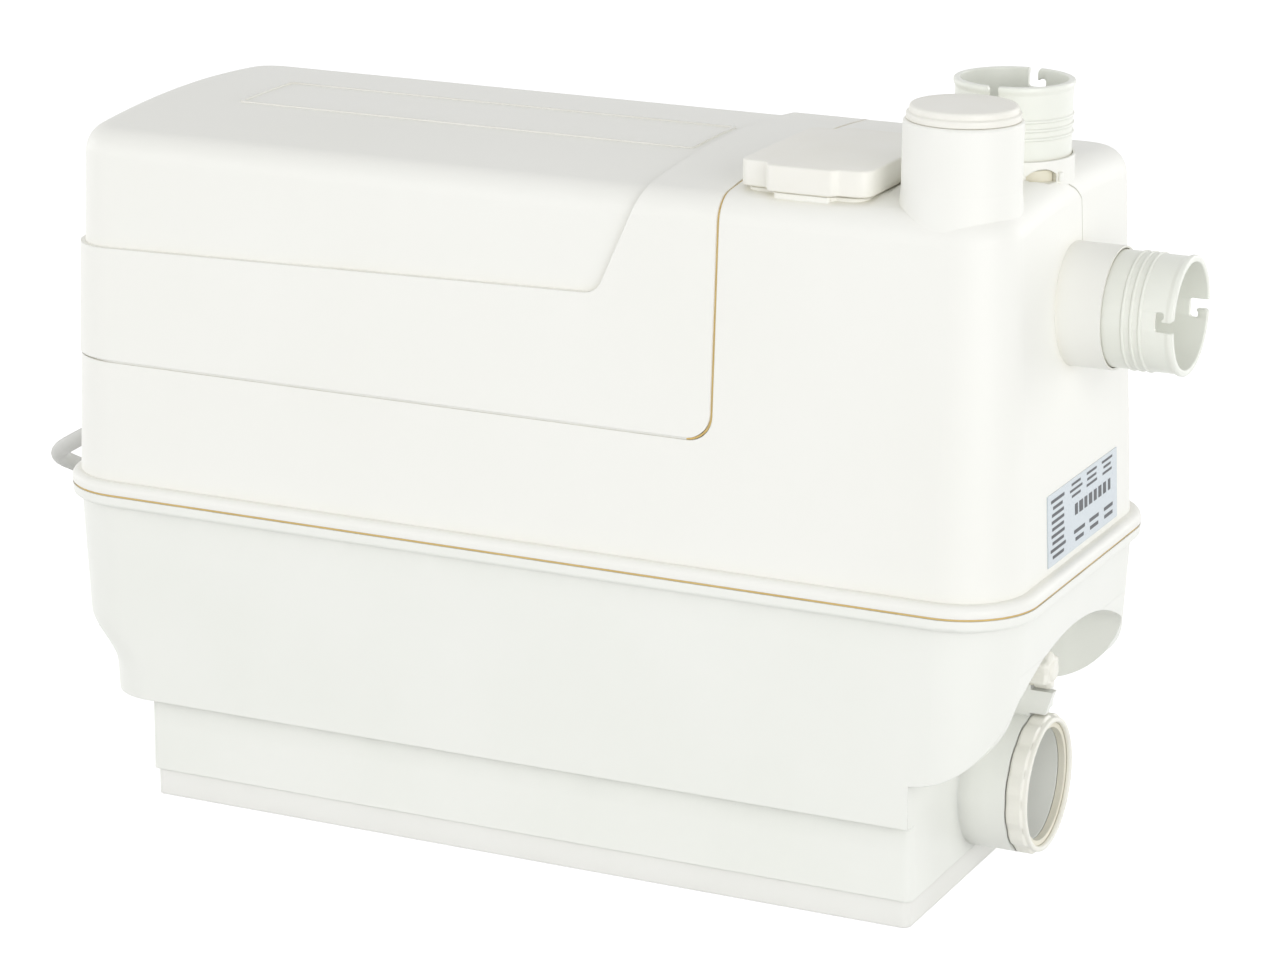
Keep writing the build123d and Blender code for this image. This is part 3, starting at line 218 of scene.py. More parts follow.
@cache
def moulded_skin() -> Tree:
    """Fine tool grain and a slow, cloudy tone, as on a moulding.

    Returns:
        The group.
    """
    group = ShaderEffect("moulded_skin", {"Grain Size": (FLOAT, 0.0006), "Cloud Size": (FLOAT, 0.05)},
                         {"Grain": FLOAT, "Cloud": FLOAT})
    fine = group.noise(group.place, group.maths("DIVIDE", 1.0, group.source["Grain Size"]), 2.0, 0.55)
    slow = group.noise(group.place, group.maths("DIVIDE", 1.0, group.source["Cloud Size"]), 3.0)
    return group.close(Grain=fine, Cloud=group.span(slow, 0.3, 0.7, 0.0, 1.0))


@cache
def rubbed_edge() -> Tree:
    """Rounds an edge's shading and says where it is rubbed.

    Returns:
        The group.
    """
    group = ShaderEffect("rubbed_edge", {"Radius": (FLOAT, 0.0005)}, {"Edge": FLOAT, "Normal": VECTOR})
    bevel = group.add("ShaderNodeBevel", {"Radius": group.source["Radius"]}, samples=4).outputs[0]
    plain = group.add("ShaderNodeNewGeometry").outputs["Normal"]
    turn = group.add("ShaderNodeVectorMath", {0: bevel, 1: plain}, operation="DOT_PRODUCT")
    bare = group.span(turn.outputs["Value"], 0.75, 1.0, 1.0, 0.0)
    patchy = group.span(group.noise(group.place, 90.0, 2.0), 0.35, 0.65, 0.2, 1.0)
    return group.close(Edge=group.product(bare, patchy), Normal=bevel)


@cache
def settled_dust() -> Tree:
    """Painted shade in corners and joints, found by occlusion, which also stands for settled dirt.

    Returns:
        The group.
    """
    group = ShaderEffect("settled_dust", {"Reach": (FLOAT, 0.006)}, {"Shade_And_Dust": FLOAT})
    near = group.add("ShaderNodeAmbientOcclusion", {"Distance": group.source["Reach"]}, samples=4)
    corner = group.span(near.outputs["AO"], 0.25, 0.85, 1.0, 0.0)
    patchy = group.span(group.noise(group.place, 55.0, 3.0), 0.3, 0.7, 0.45, 1.0)
    return group.close(Shade_And_Dust=group.product(corner, patchy))


@cache
def turned_lines() -> Tree:
    """Fine lines that a lathe or a stack of sheets leaves.

    Returns:
        The group.
    """
    group = ShaderEffect("turned_lines", {"Pitch": (FLOAT, 0.0004)}, {"Line": FLOAT})
    inputs = {"Vector": group.place, "Scale": group.maths("DIVIDE", 0.3142, group.source["Pitch"]),
              "Distortion": 0.3, "Detail": 1.0}
    wave = group.add("ShaderNodeTexWave", inputs, wave_type="BANDS", bands_direction="Z")
    return group.close(Line=wave.outputs["Fac"])


# ---------------------------------------------------------------- finishes

CLOUD_SHARE = 0.6
SHEET_SHARE = 0.5
EDGE_SHARE = 0.5
ROUGH_SPREAD = 0.08
DUST_ROUGHNESS = 0.12
COAT_ROUGHNESS = 0.12
RUBBED_GAIN = 1.08
RUBBED_LIFT = 0.01


class Surface(Enum):
    """The kinds of surface that a finish can have."""

    PLASTIC = "plastic"
    RUBBER = "rubber"
    CAST = "cast metal"
    TURNED = "turned metal"
    SHEETS = "stacked sheets"
    FILM = "printed film"


@dataclass(frozen=True)
class Finish:
    """One finish: its colours, its gloss, and the size and depth of its relief.

    Attributes:
        name: The material's name.
        colour: Main colour, linear.
        shade: Colour that the slow clouds lean to.
        surface: What kind of surface it is.
        roughness: Mean roughness.
        grain: Size of the fine grain, mm.
        relief: Depth of the grain, mm.
        cloud: Size of the slow clouds, mm.
        edge: Radius that edges are shaded with, mm.
        shade_and_dust: How strongly corners get painted shade, by a mask that also stands for dirt and adds
            roughness.
        shade_tint: Colour of the painted shade in corners; its warm default is a painted bounce of light.
        reach: How far that spreads from a corner, mm.
        coat: Weight of a clear coat.
    """

    name: str
    colour: Colour
    shade: Colour
    surface: Surface = Surface.PLASTIC
    roughness: float = 0.36
    grain: float = 0.55
    relief: float = 0.012
    cloud: float = 60.0
    edge: float = 0.5
    shade_and_dust: float = 0.3
    shade_tint: Colour = tone(214, 205, 176)
    reach: float = 6.0
    coat: float = 0.0

    @cache
    def material(self) -> bpy.types.Material:
        """Builds the material, the first time that it is asked for.

        Returns:
            The finished material.
        """
        made = bpy.data.materials.new(self.name)
        graph = Graph.of(made)
        place = graph.add("ShaderNodeTexCoord").outputs["Object"]
        skin = graph.effect(moulded_skin(), Vector=place, Grain_Size=self.grain * MM,
                            Cloud_Size=self.cloud * MM)
        edge = graph.effect(rubbed_edge(), Vector=place, Radius=self.edge * MM)
        shade_and_dust = graph.effect(settled_dust(), Vector=place, Reach=self.reach * MM)["Shade_And_Dust"]
        height = skin["Grain"]
        if self.surface in (Surface.TURNED, Surface.SHEETS):
            height = graph.effect(turned_lines(), Vector=place, Pitch=self.grain * MM)["Line"]
        body = graph.blend(graph.product(skin["Cloud"], CLOUD_SHARE), self.colour, self.shade)
        if self.surface is Surface.SHEETS:
            body = graph.blend(graph.product(height, SHEET_SHARE), body, self.shade)
        # Painted shade: where occlusion finds a corner, recess or joint, the colour leans to the shade tint;
        # the same mask adds roughness as dirt would
        body = graph.blend(graph.product(shade_and_dust, self.shade_and_dust), body, self.shade_tint)
        bright = tuple(min(1.0, value * RUBBED_GAIN + RUBBED_LIFT) for value in self.colour)
        body = graph.blend(graph.product(edge["Edge"], EDGE_SHARE), body, bright)
        varied = graph.maths("MULTIPLY_ADD", height, ROUGH_SPREAD, self.roughness - ROUGH_SPREAD / 2)
        worn = graph.maths("MULTIPLY_ADD", shade_and_dust, DUST_ROUGHNESS, varied)
        bump = graph.add("ShaderNodeBump", {"Strength": 1.0, "Distance": self.relief * MM, "Height": height,
                                            "Normal": edge["Normal"]})
        metal = self.surface in (Surface.CAST, Surface.TURNED, Surface.SHEETS)
        shader = graph.add("ShaderNodeBsdfPrincipled", {
            "Base Color": body, "Roughness": worn, "Normal": bump.outputs[0], "Metallic": float(metal),
            "Coat Weight": self.coat, "Coat Roughness": COAT_ROUGHNESS})
        graph.end("ShaderNodeOutputMaterial", shader.outputs[0])
        made.diffuse_color = (*self.colour, 1.0)
        return made


class Palette:
    """Every finish of the station."""

    COVER = Finish("cover_white", tone(246, 246, 241), tone(243, 243, 237), roughness=0.46, cloud=90)
    # The tank's strong, dark, far-reaching corner tint is painted shadow: the grey band under its bottom
    # edge, and a darker recess and inlet bore
    TANK = Finish("tank_white", tone(244, 245, 240), tone(239, 241, 234), roughness=0.4, cloud=70, shade_and_dust=0.9,
                  shade_tint=tone(168, 169, 165), reach=11)
    PAD = Finish("pad_white", tone(243, 243, 239), tone(238, 238, 233), roughness=0.5, grain=0.8,
                 relief=0.02, shade_tint=tone(205, 205, 198))
    CAP = Finish("cap_white", tone(244, 243, 236), tone(240, 238, 228), roughness=0.38, cloud=25)
    NUT = Finish("nut_cream", tone(247, 246, 238), tone(242, 240, 229), roughness=0.4, cloud=14, shade_and_dust=0.25)
    SLEEVE = Finish("sleeve_grey", tone(241, 243, 235), tone(236, 238, 229), roughness=0.34, cloud=18,
                    coat=0.15)
    GASKET = Finish("gasket_gold", tone(226, 198, 132), tone(213, 181, 110), Surface.RUBBER, roughness=0.6,
                    grain=0.7, relief=0.04, cloud=16, edge=0.15, shade_and_dust=0.0)
    SEAL = Finish("seal_cream", tone(240, 237, 222), tone(233, 228, 208), Surface.RUBBER, roughness=0.55,
                  relief=0.02, cloud=12)
    STRIP = Finish("strip_white", tone(246, 246, 242), tone(241, 241, 236), Surface.RUBBER, roughness=0.55,
                   grain=0.6, relief=0.02, cloud=20, edge=0.15, shade_and_dust=0.0)
    LABEL = Finish("label_blue", tone(203, 213, 220), tone(196, 206, 214), Surface.FILM, roughness=0.28,
                   grain=0.25, relief=0.003, cloud=30, edge=0.1, shade_and_dust=0.1, coat=0.5)
    INK = Finish("label_ink", tone(52, 56, 62), tone(72, 76, 82), Surface.FILM, roughness=0.4, grain=0.2,
                 relief=0.002, cloud=6, edge=0.05, shade_and_dust=0.0)
    MOTOR = Finish("motor_metal", (0.62, 0.63, 0.65), (0.5, 0.51, 0.53), Surface.CAST, roughness=0.45,
                   grain=0.9, relief=0.06, cloud=22, shade_tint=(0.12, 0.11, 0.1))
    SCREW = Finish("screw_steel", (0.62, 0.62, 0.64), (0.5, 0.5, 0.53), Surface.TURNED, roughness=0.26,
                   grain=0.2, relief=0.006, cloud=4, edge=0.2, shade_tint=(0.15, 0.13, 0.11))
    CORE = Finish("core_steel", (0.42, 0.42, 0.44), (0.27, 0.27, 0.3), Surface.SHEETS, roughness=0.4,
                  grain=0.5, relief=0.08, cloud=20, edge=0.2, shade_tint=(0.1, 0.07, 0.05))
    BEARING = Finish("bearing_steel", (0.72, 0.72, 0.74), (0.6, 0.6, 0.63), Surface.TURNED, roughness=0.16,
                     grain=0.3, relief=0.004, cloud=5, edge=0.2, shade_tint=(0.1, 0.08, 0.06))
    RUBBER = Finish("seal_black", (0.03, 0.03, 0.03), (0.05, 0.05, 0.05), Surface.RUBBER, roughness=0.55,
                    grain=0.4, relief=0.02, cloud=8, shade_tint=(0.1, 0.09, 0.08))
    PUMP = Finish("pump_grey", (0.1, 0.105, 0.115), (0.135, 0.14, 0.15), roughness=0.42, grain=0.5,
                  relief=0.03, cloud=18, shade_tint=(0.2, 0.18, 0.15))
    PIPE = Finish("pipe_grey", tone(190, 192, 190), tone(178, 181, 179), roughness=0.4, cloud=25)
    BOX = Finish("box_black", (0.045, 0.046, 0.05), (0.065, 0.066, 0.07), roughness=0.5, grain=0.7,
                 relief=0.05, cloud=20, shade_tint=(0.14, 0.13, 0.11))
    CAN = Finish("can_white", tone(228, 228, 224), tone(219, 219, 214), roughness=0.24, relief=0.004,
                 cloud=20, coat=0.4)
    CORD = Finish("cord_grey", tone(209, 209, 205), tone(199, 199, 194), Surface.RUBBER, roughness=0.5,
                  grain=0.45, relief=0.02, cloud=14)
    PLUG = Finish("plug_grey", tone(203, 203, 199), tone(192, 192, 187), roughness=0.46, grain=0.6,
                  relief=0.03, cloud=16)


# ---------------------------------------------------------------- meshes

WELD = 0.002
STRAIGHT = 1.55
OVERCUT = 1.0
SQUARE = ((-1, -1), (1, -1), (1, 1), (-1, 1))


def rounded(corners: Sequence[Corner], closed: bool = True, steps: int = 4) -> list[Flat]:
    """Rounds an outline's corners.

    Args:
        corners: Each corner's two coordinates and its radius.
        closed: Whether the outline closes on itself.
        steps: How many runs a rounded corner gets.

    Returns:
        The outline's points, in order.
    """
    count = len(corners)
    points: list[Flat] = []
    for i, (x, y, radius) in enumerate(corners):
        here = Vector((x, y))
        back = Vector(corners[i - 1][:2]) - here
        ahead = Vector(corners[(i + 1) % count][:2]) - here
        loose = not closed and i in (0, count - 1)
        half = 0.0 if radius <= 0 or loose else back.angle(ahead) / 2
        if not 0 < half <= STRAIGHT:
            points.append((x, y))
            continue
        reach = min(radius / math.tan(half), 0.49 * back.length, 0.49 * ahead.length)
        start, end = here + back.normalized() * reach, here + ahead.normalized() * reach
        middle = (back.normalized() + ahead.normalized()).normalized()
        centre = here + middle * (reach / math.cos(half))
        first, last = start - centre, end - centre
        sweep = first.angle_signed(last)
        for k in range(steps + 1):
            turned = Matrix.Rotation(-sweep * k / steps, 2) @ first
            points.append((centre.x + turned.x, centre.y + turned.y))
    return points


def in_scene(name: str, data: bpy.types.ID) -> Piece:
    """Puts data in the scene.

    Args:
        name: The object's name.
        data: Its mesh, curve, lamp or camera.

    Returns:
        The object.
    """
    made = bpy.data.objects.new(name, data)
    bpy.context.scene.collection.objects.link(made)
    return made


def skinned(name: str, loops: Sequence[Sequence[Vector]], ring: bool = False) -> Piece:
    """Joins matching loops of points into one solid.

    Args:
        name: The object's name.
        loops: The same number of points for each loop, mm.
        ring: Whether the last loop joins the first. If it doesn't, both ends are closed.

    Returns:
        The object, in metres, in the scene.
    """
    shape = bmesh.new()
    rows = [[shape.verts.new(point) for point in loop] for loop in loops]
    for near, far in zip(rows, rows[1:] + rows[:1] if ring else rows[1:]):
        for i, here in enumerate(near):
            j = (i + 1) % len(near)
            if here.co != far[i].co or near[j].co != far[j].co:
                shape.faces.new((here, near[j], far[j], far[i]))
    if not ring:
        shape.faces.new(rows[0])
        shape.faces.new(rows[-1])
    bmesh.ops.remove_doubles(shape, verts=shape.verts, dist=WELD)
    bmesh.ops.dissolve_degenerate(shape, edges=shape.edges, dist=WELD / 4)
    bmesh.ops.recalc_face_normals(shape, faces=shape.faces)
    bmesh.ops.scale(shape, vec=(MM, MM, MM), verts=shape.verts)
    mesh = bpy.data.meshes.new(name)
    shape.to_mesh(mesh)
    shape.free()
    return in_scene(name, mesh)


def lathe(name: str, corners: Sequence[Corner], turns: int = 96, steps: int = 4) -> Piece:
    """Turns a closed outline about Z.

    Args:
        name: The object's name.
        corners: Radius, height and rounding of each corner, mm.
        turns: Faces round the axis.
        steps: Runs in each rounded corner.

    Returns:
        The turned object.
    """
    outline = rounded(corners, steps=steps)
    angles = [2 * math.pi * i / turns for i in range(turns)]
    return skinned(name, [[Vector((r * math.cos(a), r * math.sin(a), z)) for r, z in outline]
                          for a in angles], ring=True)


def prism(name: str, outline: Sequence[Flat], low: float, high: float, place: Matrix | None = None) -> Piece:
    """Raises a flat outline from low to high, mm, and turns and moves it to its place."""
    turn = place or Matrix.Identity(4)
    return skinned(name, [[turn @ Vector((x, y, z)) for x, y in outline] for z in (low, high)])


def plain_mesh(made: Piece) -> Piece:
    """Keeps what an object's modifiers make as its mesh.

    Args:
        made: The object.

    Returns:
        The same object.
    """
    graph = bpy.context.evaluated_depsgraph_get()
    result = bpy.data.meshes.new_from_object(made.evaluated_get(graph))
    made.modifiers.clear()
    made.data = result
    return made


def cut_away(made: Piece, tools: Sequence[Piece]) -> None:
    """Takes the tools' shapes out of an object.

    Args:
        made: The object.
        tools: What is cut out of it. They are removed.
    """
    for tool in tools:
        step = made.modifiers.new("cut", "BOOLEAN")
        step.operation, step.solver, step.object = "DIFFERENCE", "EXACT", tool
    plain_mesh(made)
    for tool in tools:
        bpy.data.objects.remove(tool)


def softened(made: Piece, width: float, angle: float = 35.0, segments: int = 2) -> Piece:
    """Bevels the sharp edges of an object.

    Args:
        made: The object.
        width: Width of the bevel, mm.
        angle: Edges sharper than this are bevelled, degrees.
        segments: Runs across the bevel.

    Returns:
        The same object.
    """
    step = made.modifiers.new("soften", "BEVEL")
    step.width, step.segments = width * MM, segments
    step.limit_method, step.angle_limit = "ANGLE", math.radians(angle)
    return plain_mesh(made)


def joined(name: str, parts: Sequence[Piece]) -> Piece:
    """Puts several objects' meshes in one object.

    Args:
        name: The new object's name.
        parts: The objects. They are removed.

    Returns:
        The new object.
    """
    shape = bmesh.new()
    for part in parts:
        shape.from_mesh(part.data)
    mesh = bpy.data.meshes.new(name)
    shape.to_mesh(mesh)
    shape.free()
    for part in parts:
        bpy.data.objects.remove(part)
    return in_scene(name, mesh)


def moved(made: Piece, place: Matrix) -> Piece:
    """Puts an object's mesh in its place.

    Args:
        made: The object.
        place: Where it goes, in mm.

    Returns:
        The same object.
    """
    matrix = place.copy()
    matrix.translation = place.translation * MM
    made.data.transform(matrix)
    return made


def upright(x: float, y: float = 0.0, z: float = 0.0) -> Matrix:
    """A place that points up, at a point in mm."""
    return Matrix.Translation((x, y, z))


def sideways(x: float, y: float, z: float) -> Matrix:
    """A place that points along +X, at a point in mm."""
    return Matrix.Translation((x, y, z)) @ Matrix.Rotation(math.radians(90), 4, "Y")


def facing(across: Vector, over: Vector, out: Vector) -> Matrix:
    """The turn that lays X, Y and Z along three directions."""
    return Matrix((across, over, out)).transposed().to_4x4()


def standing(side: int = 1) -> Matrix:
    """Stands a flat outline up, so that it is raised along side times Y."""
    return Matrix(((1, 0, 0, 0), (0, 0, side, 0), (0, 1, 0, 0), (0, 0, 0, 1)))


# ---------------------------------------------------------------- geometry trees

FLUTE_RUN = 0.0006


class Pattern(Graph):
    """A geometry node tree that repeats or shapes a piece."""

    def __init__(self, name: str, sizes: dict[str, tuple[str, object]]) -> None:
        """Makes the tree with its named inputs.

        Args:
            name: The tree's name.
            sizes: Each input's name, with its socket type and default.
        """
        super().__init__(bpy.data.node_groups.new(name, "GeometryNodeTree"))
        shape = {"Geometry": ("NodeSocketGeometry", None)}
        self.sockets("INPUT", shape | sizes | {"Material": ("NodeSocketMaterial", None)})
        self.sockets("OUTPUT", shape)
        self.source = self.tree.nodes.new("NodeGroupInput").outputs

    def index(self) -> Socket:
        """The number of each point."""
        return self.add("GeometryNodeInputIndex").outputs[0]

    def copies(self, points: bpy.types.Node, **turned: Socket) -> Socket:
        """Puts a copy of the piece on each point of a node, turned or scaled as asked."""
        inputs = {"Points": points.outputs[0], "Instance": self.source["Geometry"]} | turned
        return self.add("GeometryNodeInstanceOnPoints", inputs).outputs[0]

    def close(self, geometry: Socket) -> Pattern:
        """Ends the tree with real meshes that have the material.

        Args:
            geometry: What the tree has made.

        Returns:
            The finished tree.
        """
        real = self.add("GeometryNodeRealizeInstances", {0: geometry})
        dressed = self.add("GeometryNodeSetMaterial", {"Geometry": real.outputs[0],
                                                       "Material": self.source["Material"]})
        self.add("NodeGroupOutput", {0: dressed.outputs[0]})
        return self

    def run(self, made: Piece, finish: Finish, **sizes: object) -> None:
        """Runs the tree on an object and keeps the result as its mesh.

        Args:
            made: The object that the tree starts from.
            finish: The finish of the result.
            **sizes: Values of the named inputs, with _ for a space.
        """
        step = made.modifiers.new("pattern", "NODES")
        step.node_group = self.tree
        wanted = {name.replace("_", " "): value for name, value in sizes.items()}
        wanted["Material"] = finish.material()
        for item in self.tree.interface.items_tree:
            if item.in_out == "INPUT" and item.name in wanted:
                step[item.identifier] = wanted[item.name]
        plain_mesh(made)


@cache
def round_the_axis() -> Pattern:
    """Repeats a piece round Z, as fins, blades and screws stand.

    Returns:
        The tree.
    """
    tree = Pattern("round_the_axis", {"Count": (INT, 6), "Radius": (FLOAT, 0.01), "Start": (FLOAT, 0.0)})
    count = tree.source["Count"]
    circle = tree.add("GeometryNodeMeshCircle", {"Vertices": count, "Radius": tree.source["Radius"]})
    turn = tree.maths("DIVIDE", tree.product(tree.index(), 2 * math.pi), count)
    copies = tree.copies(circle, Rotation=tree.vector(Z=turn))
    start = tree.vector(Z=tree.source["Start"])
    whole = tree.add("GeometryNodeTransform", {"Geometry": copies, "Rotation": start})
    return tree.close(whole.outputs[0])


@cache
def along_the_axis() -> Pattern:
    """Stacks a ring along Z, each one wider or narrower than the last.

    Returns:
        The tree.
    """
    tree = Pattern("along_the_axis", {"Count": (INT, 3), "Spacing": (FLOAT, 0.003), "Taper": (FLOAT, 0.0)})
    step = tree.vector(Z=tree.source["Spacing"])
    line = tree.add("GeometryNodeMeshLine", {"Count": tree.source["Count"], "Offset": step})
    size = tree.maths("MULTIPLY_ADD", tree.index(), tree.source["Taper"], 1.0)
    return tree.close(tree.copies(line, Scale=tree.vector(X=size, Y=size, Z=1.0)))


@cache
def grip_flutes() -> Pattern:
    """Presses flutes into the outside of a turned piece.

    Returns:
        The tree.
    """
    tree = Pattern("grip_flutes", {"Count": (INT, 14), "Depth": (FLOAT, 0.0008),
                                   "From Radius": (FLOAT, 0.02), "Sharpness": (FLOAT, 2.0)})
    point = tree.add("GeometryNodeInputPosition").outputs[0]
    x, y = tree.add("ShaderNodeSeparateXYZ", {0: point}).outputs[:2]
    flat = tree.vector(X=x, Y=y)
    radius = tree.add("ShaderNodeVectorMath", {0: flat}, operation="LENGTH").outputs["Value"]
    outward = tree.add("ShaderNodeVectorMath", {0: flat}, operation="NORMALIZE").outputs[0]
    angle = tree.product(tree.maths("ARCTAN2", y, x), tree.source["Count"])
    wave = tree.maths("MULTIPLY_ADD", tree.maths("COSINE", angle), -0.5, 0.5)
    dent = tree.product(tree.maths("POWER", wave, tree.source["Sharpness"]), tree.source["Depth"])
    past = tree.maths("DIVIDE", tree.maths("SUBTRACT", radius, tree.source["From Radius"]), FLUTE_RUN)
    share = tree.maths("MINIMUM", tree.maths("MAXIMUM", past, 0.0), 1.0)
    depth = tree.product(tree.product(dent, share), -1.0)
    offset = tree.add("ShaderNodeVectorMath", {0: outward, "Scale": depth}, operation="SCALE").outputs[0]
    pressed = tree.add("GeometryNodeSetPosition", {"Geometry": tree.source["Geometry"], "Offset": offset})
    return tree.close(pressed.outputs[0])


@cache
def ruled_rows() -> Pattern:
    """Lays bars of uneven length in rows, as blank fields on a plate.

    Returns:
        The tree.
    """
    tree = Pattern("ruled_rows", {"Columns": (INT, 3), "Rows": (INT, 6), "Width": (FLOAT, 0.05),
                                  "Height": (FLOAT, 0.02), "Least": (FLOAT, 0.35), "Seed": (INT, 3)})
    size = tree.source
    grid = tree.add("GeometryNodeMeshGrid", {"Size X": size["Width"], "Size Y": size["Height"],
                                             "Vertices X": size["Columns"], "Vertices Y": size["Rows"]})
    chance = tree.add("FunctionNodeRandomValue", {2: size["Least"], 3: 1.0, "Seed": size["Seed"]})
    scale = tree.vector(X=chance.outputs[1], Y=1.0, Z=1.0)
    return tree.close(tree.copies(grid, Scale=scale))


# ---------------------------------------------------------------- assemblies


class Assembly:
    """What every sub-assembly shares: how a piece gets its finish and its place."""

    def dress(self, finish: Finish, *nodes: str) -> None:
        """Gives carried-over CAD nodes their finish.

        Args:
            finish: The finish.
            *nodes: The nodes' names.
        """
        for node in nodes:
            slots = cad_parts[node].data.materials
            slots.clear()
            slots.append(finish.material())
            LOG.info("dressed %s in %s", node, finish.name)

    def fit(self, made: Piece, body: str, finish: Finish, slot: str, *replaces: str) -> Piece:
        """Finishes a built piece and makes it ride on its body.

        Args:
            made: The piece.
            body: The body that carries it.
            finish: Its finish.
            slot: The record's material slot; not used.
            *replaces: CAD nodes that it stands for.

        Returns:
            The piece.
        """
        made.data.materials.clear()
        made.data.materials.append(finish.material())
        made.data.polygons.foreach_set("material_index", [0] * len(made.data.polygons))
        made.data.shade_smooth()
        made.data.set_sharp_from_angle(angle=math.radians(35))
        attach(made, body)
        if replaces:
            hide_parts(*replaces)
        LOG.info("fitted %s on %s, %d faces", made.name, body, len(made.data.polygons))
        return made


@dataclass
class Shell(Assembly):
    """The tank, its base and the upper housing, with the plate and the seals between them."""

    split_x: float = 76.0
    gap_half: float = 0.36
    corner: float = 9.0
    low_z: float = 165.0
    seam_z: float = 116.6
    wall_y: float = 75.1
    end_x: float = 182.6
    draft: float = 2.8
    crown_z: float = 254.0
    crown_y: float = 12.0
    crown_radius: float = 520.0
    crown_edge: float = 10.0
    crown_drop: float = 4.0
    crown_set: float = 14.0
    crown_steps: int = 12
    seal_out: float = 0.4
    seal_in: float = 4.1
    strip_set: float = 0.3
    strip_corner: float = 21.7
    bend_steps: int = 8
    plate_middle: Flat = (4.75, 136.0)
    plate_thick: float = 0.4
    ink_thick: float = 0.06
    bar_corner: float = 0.15
    bar_seed: int = 5
    catch_x: float = 153.5
    catch_turn: float = -21.0
    catch_reach: Flat = (20.9, 22.4)
    catch_heights: Flat = (251.6, 254.8)

    def build(self) -> None:
        """Dresses the shell and adds its fine parts."""
        self.dress(Palette.TANK, "tank")
        self.dress(Palette.PAD, "base_pad")
        self.dress(Palette.GASKET, "tank_gasket")
        self.dress(Palette.COVER, "main_cover")
        self.dress(Palette.LABEL, "rating_plate")
        self.lid_seal()
        self.lid_strip()
        self.plate_fields()
        self.catch()

    def drawn_in(self, z: float, inset: float) -> float:
        """How far the drafted skin has come in at a height, with the inset."""
        return (z - self.seam_z) * math.tan(math.radians(self.draft)) + inset

    def wall(self, z: float, inset: float) -> float:
        """How far the front wall stands from the middle at a height."""
        return self.wall_y - self.drawn_in(z, inset)

    def end_wall(self, z: float, inset: float) -> float:
        """How far an end wall stands from the middle at a height."""
        return self.end_x - self.drawn_in(z, inset)

    def crown(self, y: float, inset: float) -> float:
        """The crown's height at a depth."""
        drop = math.sqrt((self.crown_radius - inset) ** 2 - (y - self.crown_y) ** 2)
        return self.crown_z - self.crown_radius + drop

    def section(self, inset: float) -> list[Flat]:
        """The housing's outline across the length, drawn in by inset.

        Args:
            inset: How far inside the skin it runs, mm.

        Returns:
            Depth and height of each point, front to back.
        """
        foot = self.low_z + self.corner
        corners: list[Corner] = [(-self.wall(foot, inset), foot, 0.0)]
        for side in (-1, 1):
            edge = self.wall(self.crown_z - self.crown_drop, inset)
            edge = self.wall(self.crown(side * edge, inset), inset)
            corners.append((side * edge, self.crown(side * edge, inset), self.crown_edge - inset))
            if side < 0:
                half = edge - self.crown_set
                for k in range(1, self.crown_steps):
                    y = half * (2 * k / self.crown_steps - 1)
                    corners.append((y, self.crown(y, inset), 0.0))
        corners.append((self.wall(foot, inset), foot, 0.0))
        return rounded(corners, closed=False, steps=8)

    def seal_bend(self, side: int) -> list[list[Vector]]:
        """The seal's quarter turn at the foot of one side.

        Args:
            side: -1 for the front, 1 for the back.

        Returns:
            Its sections, from the top down.
        """
        sides = ((-self.gap_half, self.seal_out), (self.gap_half, self.seal_out),
                 (self.gap_half, self.seal_in), (-self.gap_half, self.seal_in))
        bend = []
        for k in range(1, self.bend_steps + 1):
            angle = math.radians(90 * k / self.bend_steps)
            quad = []
            for out, inset in sides:
                x = self.split_x - self.corner + (self.corner + out) * math.cos(angle)
                z = self.low_z + self.corner - (self.corner + out) * math.sin(angle)
                quad.append(Vector((x, side * self.wall(z, inset), z)))
            bend.append(quad)
        return bend

    def lid_seal(self) -> None:
        """The seal that shows as a golden line in the joint beside the motor cover."""
        near, far = self.split_x - self.gap_half, self.split_x + self.gap_half
        edges = zip(self.section(self.seal_out), self.section(self.seal_in))
        top = [[Vector((near, *outer)), Vector((far, *outer)), Vector((far, *inner)), Vector((near, *inner))]
               for outer, inner in edges]
        seal = skinned("lid_seal", [*self.seal_bend(-1)[::-1], *top, *self.seal_bend(1)])
        self.fit(seal, "housing", Palette.GASKET, "gasket_gold")

    def lid_strip(self) -> None:
        """The pale strip that closes the level joint under the motor cover."""
        start, low, high = self.split_x - self.corner, self.low_z - self.gap_half, self.low_z + self.gap_half
        edges = []
        for inset in (self.strip_set, self.seal_in):
            wide, deep = self.end_wall(self.low_z, inset), self.wall(self.low_z, inset)
            bend = self.strip_corner - inset
            edges.append(rounded([(start, -deep, 0), (-wide, -deep, bend), (-wide, deep, bend),
                                  (start, deep, 0)], closed=False, steps=8))
        sections = [[Vector((*outer, low)), Vector((*outer, high)), Vector((*inner, high)),
                     Vector((*inner, low))] for outer, inner in zip(*edges)]
        self.fit(skinned("lid_strip", sections), "housing", Palette.STRIP, "seal_cream")

    def plate_fields(self) -> None:
        """Blank ruled fields on the plate, in place of any print."""
        tilt = math.radians(self.draft)
        y, z = self.plate_middle
        along = Vector((0, 1, 0))
        up = Vector((-math.sin(tilt), 0, math.cos(tilt)))
        out = Vector((math.cos(tilt), 0, math.sin(tilt)))
        face = facing(along, up, out)
        middle = Vector((self.end_wall(z, -self.plate_thick), y, z))
